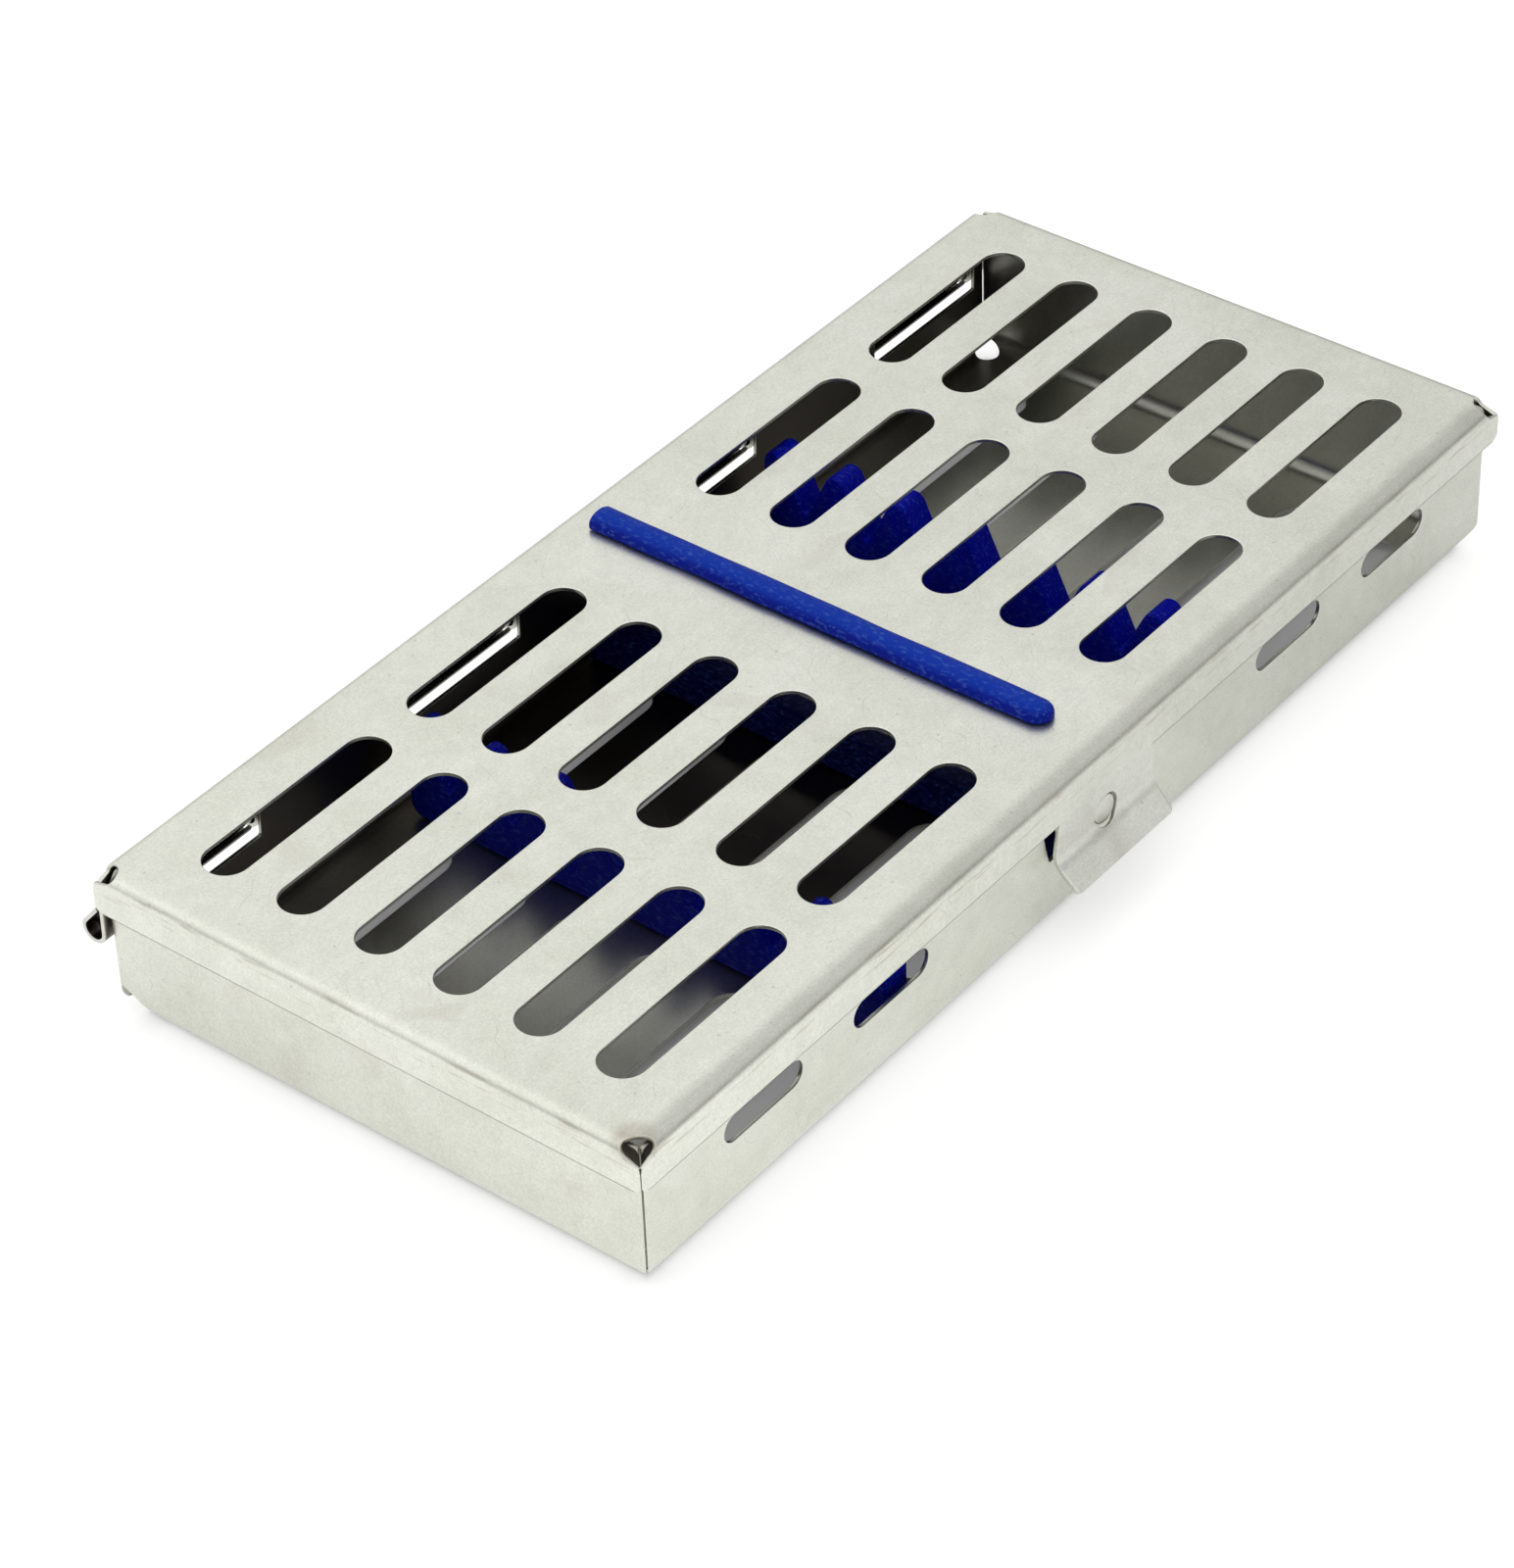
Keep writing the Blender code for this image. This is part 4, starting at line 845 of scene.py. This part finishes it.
def lidBarPiece():
    # the bead's section is upright sides under half an ellipse; its width and height swell slowly along y
    shape = barShape
    half, side, base, low, innerHigh = (shape[key] for key in ("half", "side", "base", "low", "innerHigh"))
    across, up = arcPoints((0, 0), 1, 0, 180, 18)[1:-1].T
    bead = np.concatenate([[(half, 0), (half, side)],
                           np.stack([half * across, side + (shape["crown"] - base - side) * up], -1),
                           [(-half, side), (-half, 0)]])
    y, scale = barStations(low, shape["high"], 60, shape["nose"], 0.25 * mm)
    sway = shape["sway"] * (np.sin(y * 130) + 0.6 * np.sin(y * 310 + 1.3))
    wide = np.where(y > 0, np.maximum(scale, 0.9), scale)
    high = np.where(y > 0, np.maximum(scale, 0.93), 0.35 + 0.65 * scale)
    swell = 1 + 0.02 * np.sin(y * 220) + 0.012 * np.sin(y * 470 + 2)
    upper = carried(bead, sway, y, base, wide * swell, high * (1 + (swell - 1) * 0.4))
    section = roundedBox(shape["innerHalf"], -shape["innerDepth"], 0, 1 * mm, 0.2 * mm)
    lower = carried(section, 0, np.linspace(low, innerHigh, 24), shape["innerTop"], 1, 1)
    section = roundedBox(shape["neckHalf"], 21.9 * mm, 23.9 * mm, 0.05 * mm, 0.05 * mm, 1)
    return joined(upper, lower, carried(section, 0, np.array([shape["neckLow"], innerHigh]), 0, 1, 1))


footShape = {"middle": 0.15 * mm, "half": 34 * mm, "neckHalf": 30 * mm, "top": 0.9 * mm, "halfWidth": 2.15 * mm}


def footPart(x):
    # a flat bead under the floor and the neck that joins it through the slot
    shape = footShape
    middle, half, neckHalf = shape["middle"], shape["half"], shape["neckHalf"]
    foot = roundedBox(shape["halfWidth"], 0, shape["top"], 0.35 * mm, 0.1 * mm, 4)
    y, scale = barStations(middle - half, middle + half, 20, 0.4 * mm, 0.4 * mm)
    neck = roundedBox(0.8 * mm, 0.5 * mm, 2.5 * mm, 0.05 * mm, 0.05 * mm, 1)
    ends = np.array([middle - neckHalf, middle + neckHalf])
    return joined(carried(foot, x, y, 0, 0.9 + 0.1 * scale, 1), carried(neck, x, ends, 0, 1, 1))


combShape = {
    "low": 2.1 * mm, "notch": 8.4 * mm, "rise": 6.1 * mm,       # lower side, notch floor, up to the crowns
    "half": 37.4 * mm, "shift": -1 * mm, "foot": 2.2 * mm,      # half length, its middle, round lower ends
    "teeth": 8, "pitch": 10.2 * mm, "crown": 1.7 * mm,
    "floorRound": 0.42 * mm, "flank": 22,                       # a notch's floor, its flanks' lean in degrees
    # how far the outline is drawn in at each place from a face towards the middle
    "drawn": ((0, 0.3), (0.06, 0.16), (0.18, 0.05), (0.3, 0.01), (0.5, 0)),
    "near": (-40.4 * mm, -35.8 * mm), "far": (32.5 * mm, 37.1 * mm),
}


def combPart(x0, x1):
    # side view: straight notch flanks between round crowns over a lower side with rounded ends, both read at
    # the same places along y, so the flat end faces are strips between them; carried across in x with its
    # edges drawn in along the outline's own normal for the first and last third of a millimetre
    shape = combShape
    low, notch, rise, foot = shape["low"], shape["notch"], shape["rise"], shape["foot"]
    half, crown, pitch, floorRound = shape["half"], shape["crown"], shape["pitch"], shape["floorRound"]
    flank, lastTooth = shape["flank"], shape["teeth"] - 1
    run = pitch / 2 - 0.3 * mm
    lean = math.degrees(math.acos(crown / math.hypot(run, rise)) - math.atan2(rise, run))
    upper = []
    for tooth in range(shape["teeth"]):
        middle = (tooth - lastTooth / 2) * pitch
        left = middle if tooth else crown - half
        right = middle if tooth < lastTooth else half - crown
        if tooth:
            floorCentre = (middle - pitch / 2, notch + floorRound)
            upper.append(arcPoints(floorCentre, floorRound, 270, 360 - flank, 4))
        upper.append(arcPoints((left, notch + rise), crown, 180 - lean if tooth else 180, 90, 9))
        down = arcPoints((right, notch + rise), crown, 90, lean if tooth < lastTooth else 0, 9)
        upper.append(down if right > left else down[1:])
        if tooth < lastTooth:
            floorCentre = (middle + pitch / 2, notch + floorRound)
            upper.append(arcPoints(floorCentre, floorRound, 180 + flank, 269, 4))
    upper = np.concatenate(upper)
    within = np.clip(foot - (half - np.abs(upper[:, 0])), 0, foot)
    lower = np.column_stack([upper[:, 0], low + foot - np.sqrt(foot ** 2 - within ** 2)])
    outline = np.concatenate([upper, lower[::-1]])
    outline[:, 0] += shape["shift"]
    step = np.roll(outline, -1, 0) - np.roll(outline, 1, 0)
    inward = unit(np.stack([step[:, 1], -step[:, 0]], -1))
    rings = [(x0 + x * mm, pull * mm) for x, pull in shape["drawn"]]
    rings += [(x1 - x * mm, pull * mm) for x, pull in reversed(shape["drawn"])]
    n, k, last = len(upper), len(outline), len(rings) - 1
    points = np.concatenate([np.column_stack([np.full(k, x), outline + inward * pull]) for x, pull in rings])
    i, j = np.meshgrid(np.arange(last), np.arange(k), indexing="ij")
    a, b = i * k + j, i * k + (j + 1) % k
    sides = np.stack([b, a, a + k, b + k], -1).reshape(-1, 4)
    m = np.arange(n - 1)
    strip = np.stack([m, m + 1, k - 2 - m, k - 1 - m], -1)
    return points, np.concatenate([sides, strip, strip[:, ::-1] + last * k]).tolist()


restShape = {
    "half": 2.3 * mm, "low": 2.1 * mm, "top": 7.8 * mm,
    "ends": (-38.15 * mm, 38.45 * mm), "round": 0.4 * mm,
}


def restBarPart():
    # a bar with round upper edges, its section drawn in a little at both ends
    shape = restShape
    section = roundedBox(shape["half"], shape["low"], shape["top"], 0.2 * mm, 1 * mm)
    y, scale = barStations(*shape["ends"], 24, shape["round"], shape["round"])
    return carried(section, 0, y, 0, 0.9 + 0.1 * scale, 1)


nearFoot, restFoot, farFoot = trayShape["footSlots"]
# the tray's strips are one silicone in lit and shaded copies: the far comb lighter as painted light, the near
# comb darker and the rest bar darkest as painted shade
silicone = {
    "lid_bar": (lidBarPiece(), mouldedSilicone("moulded blue silicone", "#00107c", "#011a86", "#042f9a")),
    "comb_near": (joined(combPart(*combShape["near"]), footPart(nearFoot)),
                  mouldedSilicone("moulded blue silicone, near comb, shaded copy", "#010486", "#030a96")),
    "comb_far": (joined(combPart(*combShape["far"]), footPart(farFoot)),
                 mouldedSilicone("moulded blue silicone, far comb, lit copy", "#0206a2", "#040eb0")),
    "rest_bar": (joined(restBarPart(), footPart(restFoot)),
                 mouldedSilicone("moulded blue silicone, rest bar, deeply shaded copy", "#010340", "#02064e")),
}
for node, ((points, faces), material) in silicone.items():
    body = "lid_body" if node == "lid_bar" else "tray_body"
    newPiece(node + "_silicone", points, faces, material, body, node, sharp=50)
print("silicone: bar, two combs and the rest")


# ground, light and camera
studio = {
    "paper": "#dfdfdf",
    "white": 0.45,                           # what is added to the paper for the camera, so that it shows white
    "under": 0.10,                           # painted shade: the share of the added white left under the cassette
    "wallsX": 88 * mm, "wallsY": 40.5 * mm,  # half sizes of the ground under the cassette
    "underShadeFade": (-3 * mm, -0.8 * mm),            # where the painted shade under the cassette gives way to the added white, from the walls
    # painted reflection: a glow on the ground that only mirroring rays see, its level at two places along x,
    # share at two places along y
    "mirroredX": ((-0.06, 0.47), (0.05, 0.16)), "mirroredY": ((-0.045, 1.0), (0.04, 0.80)),
    "slope": (-1.1, 0.08, 0),                # how the sky's level changes along each axis of its direction
    "middle": 1.62, "least": 0.60, "most": 1.09,
    "horizon": 0.43, "horizonBand": (-0.05, 0.55),      # share left at the horizon, sines of its two heights
    "keyWatts": 0.4, "keySize": 1.1, "keyPlace": (-0.45, 0.35, 0.95),
}


def shownDirectly(tree):
    # 1 for the rays that the camera sends, straight or through something clear
    rays = addNode(tree, "ShaderNodeLightPath")
    return rays, addNode(tree, "ShaderNodeMath", {"operation": "MAXIMUM"}, links={
        0: rays.outputs["Is Camera Ray"], 1: rays.outputs["Is Transmission Ray"]}).outputs["Value"]


def paperGround():
    # matte white paper with a little added white seen directly, and a painted reflection glow that only
    # mirroring rays see;
    # both times what is clear of the cassette, which paints shade under it, by the larger of |x| less half its
    # length and |y| less half its width
    material = bpy.data.materials.new("white paper ground")
    material.use_nodes = True
    tree = material.node_tree
    tree.nodes.clear()
    matte = addNode(tree, "ShaderNodeBsdfDiffuse", inputs={"Color": srgb(studio["paper"])})
    place = addNode(tree, "ShaderNodeTexCoord").outputs["Object"]
    spot = addNode(tree, "ShaderNodeSeparateXYZ", links={"Vector": place})
    past, mirrored = [], []
    for axis in "XY":
        size = addNode(tree, "ShaderNodeMath", {"operation": "ABSOLUTE"}, links={0: spot.outputs[axis]})
        past.append(addNode(tree, "ShaderNodeMath", {"operation": "SUBTRACT"}, {1: studio["walls" + axis]},
                            {0: size.outputs["Value"]}).outputs["Value"])
        (start, atStart), (stop, atStop) = studio["mirrored" + axis]
        mirrored.append(addNode(tree, "ShaderNodeMapRange", links={"Value": spot.outputs[axis]}, inputs={
            "From Min": start, "From Max": stop, "To Min": atStart, "To Max": atStop}).outputs["Result"])
    gap = addNode(tree, "ShaderNodeMath", {"operation": "MAXIMUM"}, links={0: past[0], 1: past[1]})
    start, full = studio["underShadeFade"]
    clear = addNode(tree, "ShaderNodeMapRange", {"interpolation_type": "SMOOTHSTEP"},
                    {"From Min": start, "From Max": full, "To Min": studio["under"]},
                    {"Value": gap.outputs["Value"]}).outputs["Result"]
    rays, shown = shownDirectly(tree)
    direct = addNode(tree, "ShaderNodeMath", {"operation": "MULTIPLY"}, {1: studio["white"]}, {0: shown})
    # painted reflection: the glow that only mirroring rays see, graded along x and y
    reflectedGlow = rays.outputs["Is Glossy Ray"]
    for share in mirrored:
        reflectedGlow = addNode(tree, "ShaderNodeMath", {"operation": "MULTIPLY"},
                          links={0: reflectedGlow, 1: share}).outputs["Value"]
    either = addNode(tree, "ShaderNodeMath", {"operation": "MAXIMUM"},
                     links={0: direct.outputs["Value"], 1: reflectedGlow})
    strength = addNode(tree, "ShaderNodeMath", {"operation": "MULTIPLY"},
                       links={0: either.outputs["Value"], 1: clear})
    glow = addNode(tree, "ShaderNodeEmission", links={"Strength": strength.outputs["Value"]})
    both = addNode(tree, "ShaderNodeAddShader", links={0: matte.outputs["BSDF"], 1: glow.outputs["Emission"]})
    addNode(tree, "ShaderNodeOutputMaterial", links={"Surface": both.outputs["Shader"]})
    return material


def whiteStudio():
    # the sky: its level is middle + slope . direction, kept between least and most, and sinks towards the
    # horizon; the camera itself sees plain white
    world = bpy.data.worlds.new("white studio")
    world.use_nodes = True
    tree = world.node_tree
    backdrop = tree.nodes["Background"]
    backdrop.inputs["Color"].default_value = (1, 1, 1, 1)
    way = addNode(tree, "ShaderNodeTexCoord").outputs["Generated"]
    facing = addNode(tree, "ShaderNodeVectorMath", {"operation": "DOT_PRODUCT"}, {1: studio["slope"]}, {0: way})
    middle, least, most = studio["middle"], studio["least"], studio["most"]
    sky = addNode(tree, "ShaderNodeMapRange", links={"Value": facing.outputs["Value"]}, inputs={
        "From Min": least - middle, "From Max": most - middle, "To Min": least, "To Max": most})
    height = addNode(tree, "ShaderNodeSeparateXYZ", links={"Vector": way})
    start, full = studio["horizonBand"]
    rim = addNode(tree, "ShaderNodeMapRange", {"interpolation_type": "SMOOTHSTEP"},
                  {"From Min": start, "From Max": full, "To Min": studio["horizon"]},
                  {"Value": height.outputs["Z"]})
    lit = addNode(tree, "ShaderNodeMath", {"operation": "MULTIPLY"},
                  links={0: sky.outputs["Result"], 1: rim.outputs["Result"]})
    _, shown = shownDirectly(tree)
    level = addNode(tree, "ShaderNodeMix", {"data_type": "FLOAT"}, {3: 1.0},
                    {0: shown, 2: lit.outputs["Value"]})
    tree.links.new(level.outputs[0], backdrop.inputs["Strength"])
    return world


groundHalf = 3.0                             # half size of the ground, in metres
corners = [(x * groundHalf, y * groundHalf, 0) for x, y in ((-1, -1), (1, -1), (1, 1), (-1, 1))]
groundMesh = bpy.data.meshes.new("ground")
groundMesh.from_pydata(corners, [], [(0, 1, 2, 3)])
groundMesh.materials.append(paperGround())
ground = bpy.data.objects.new("ground", groundMesh)
bpy.context.scene.collection.objects.link(ground)
bpy.context.scene.world = whiteStudio()

lampData = bpy.data.lights.new("soft box", "AREA")
lampData.energy = studio["keyWatts"]
lampData.size = studio["keySize"]
lamp = bpy.data.objects.new("soft box", lampData)
lamp.location = studio["keyPlace"]
lamp.rotation_euler = (-lamp.location.normalized()).to_track_quat("-Z", "Y").to_euler()
bpy.context.scene.collection.objects.link(lamp)

# the photograph's camera: its place, and the directions of the picture's right, down and depth
shot = {
    "place": (-0.407937, -0.321839, 0.416233),
    "right": (0.614867, -0.788035, -0.030643),
    "down": (-0.509284, -0.367103, -0.778373),
    "ahead": (0.602136, 0.494202, -0.627054),
    "lensMm": 119.59, "sensorMm": 36,
    "clip": (0.01, 20),
}
cameraData = bpy.data.cameras.new("camera")
cameraData.lens, cameraData.sensor_width = shot["lensMm"], shot["sensorMm"]
cameraData.clip_start, cameraData.clip_end = shot["clip"]
camera = bpy.data.objects.new("camera", cameraData)
turn = Matrix([shot["right"], [-v for v in shot["down"]], [-v for v in shot["ahead"]]]).transposed()
camera.matrix_world = Matrix.Translation(shot["place"]) @ turn.to_4x4()
bpy.context.scene.collection.objects.link(camera)
bpy.context.scene.camera = camera
bpy.context.scene.view_settings.view_transform = "Standard"

print("scene ready")
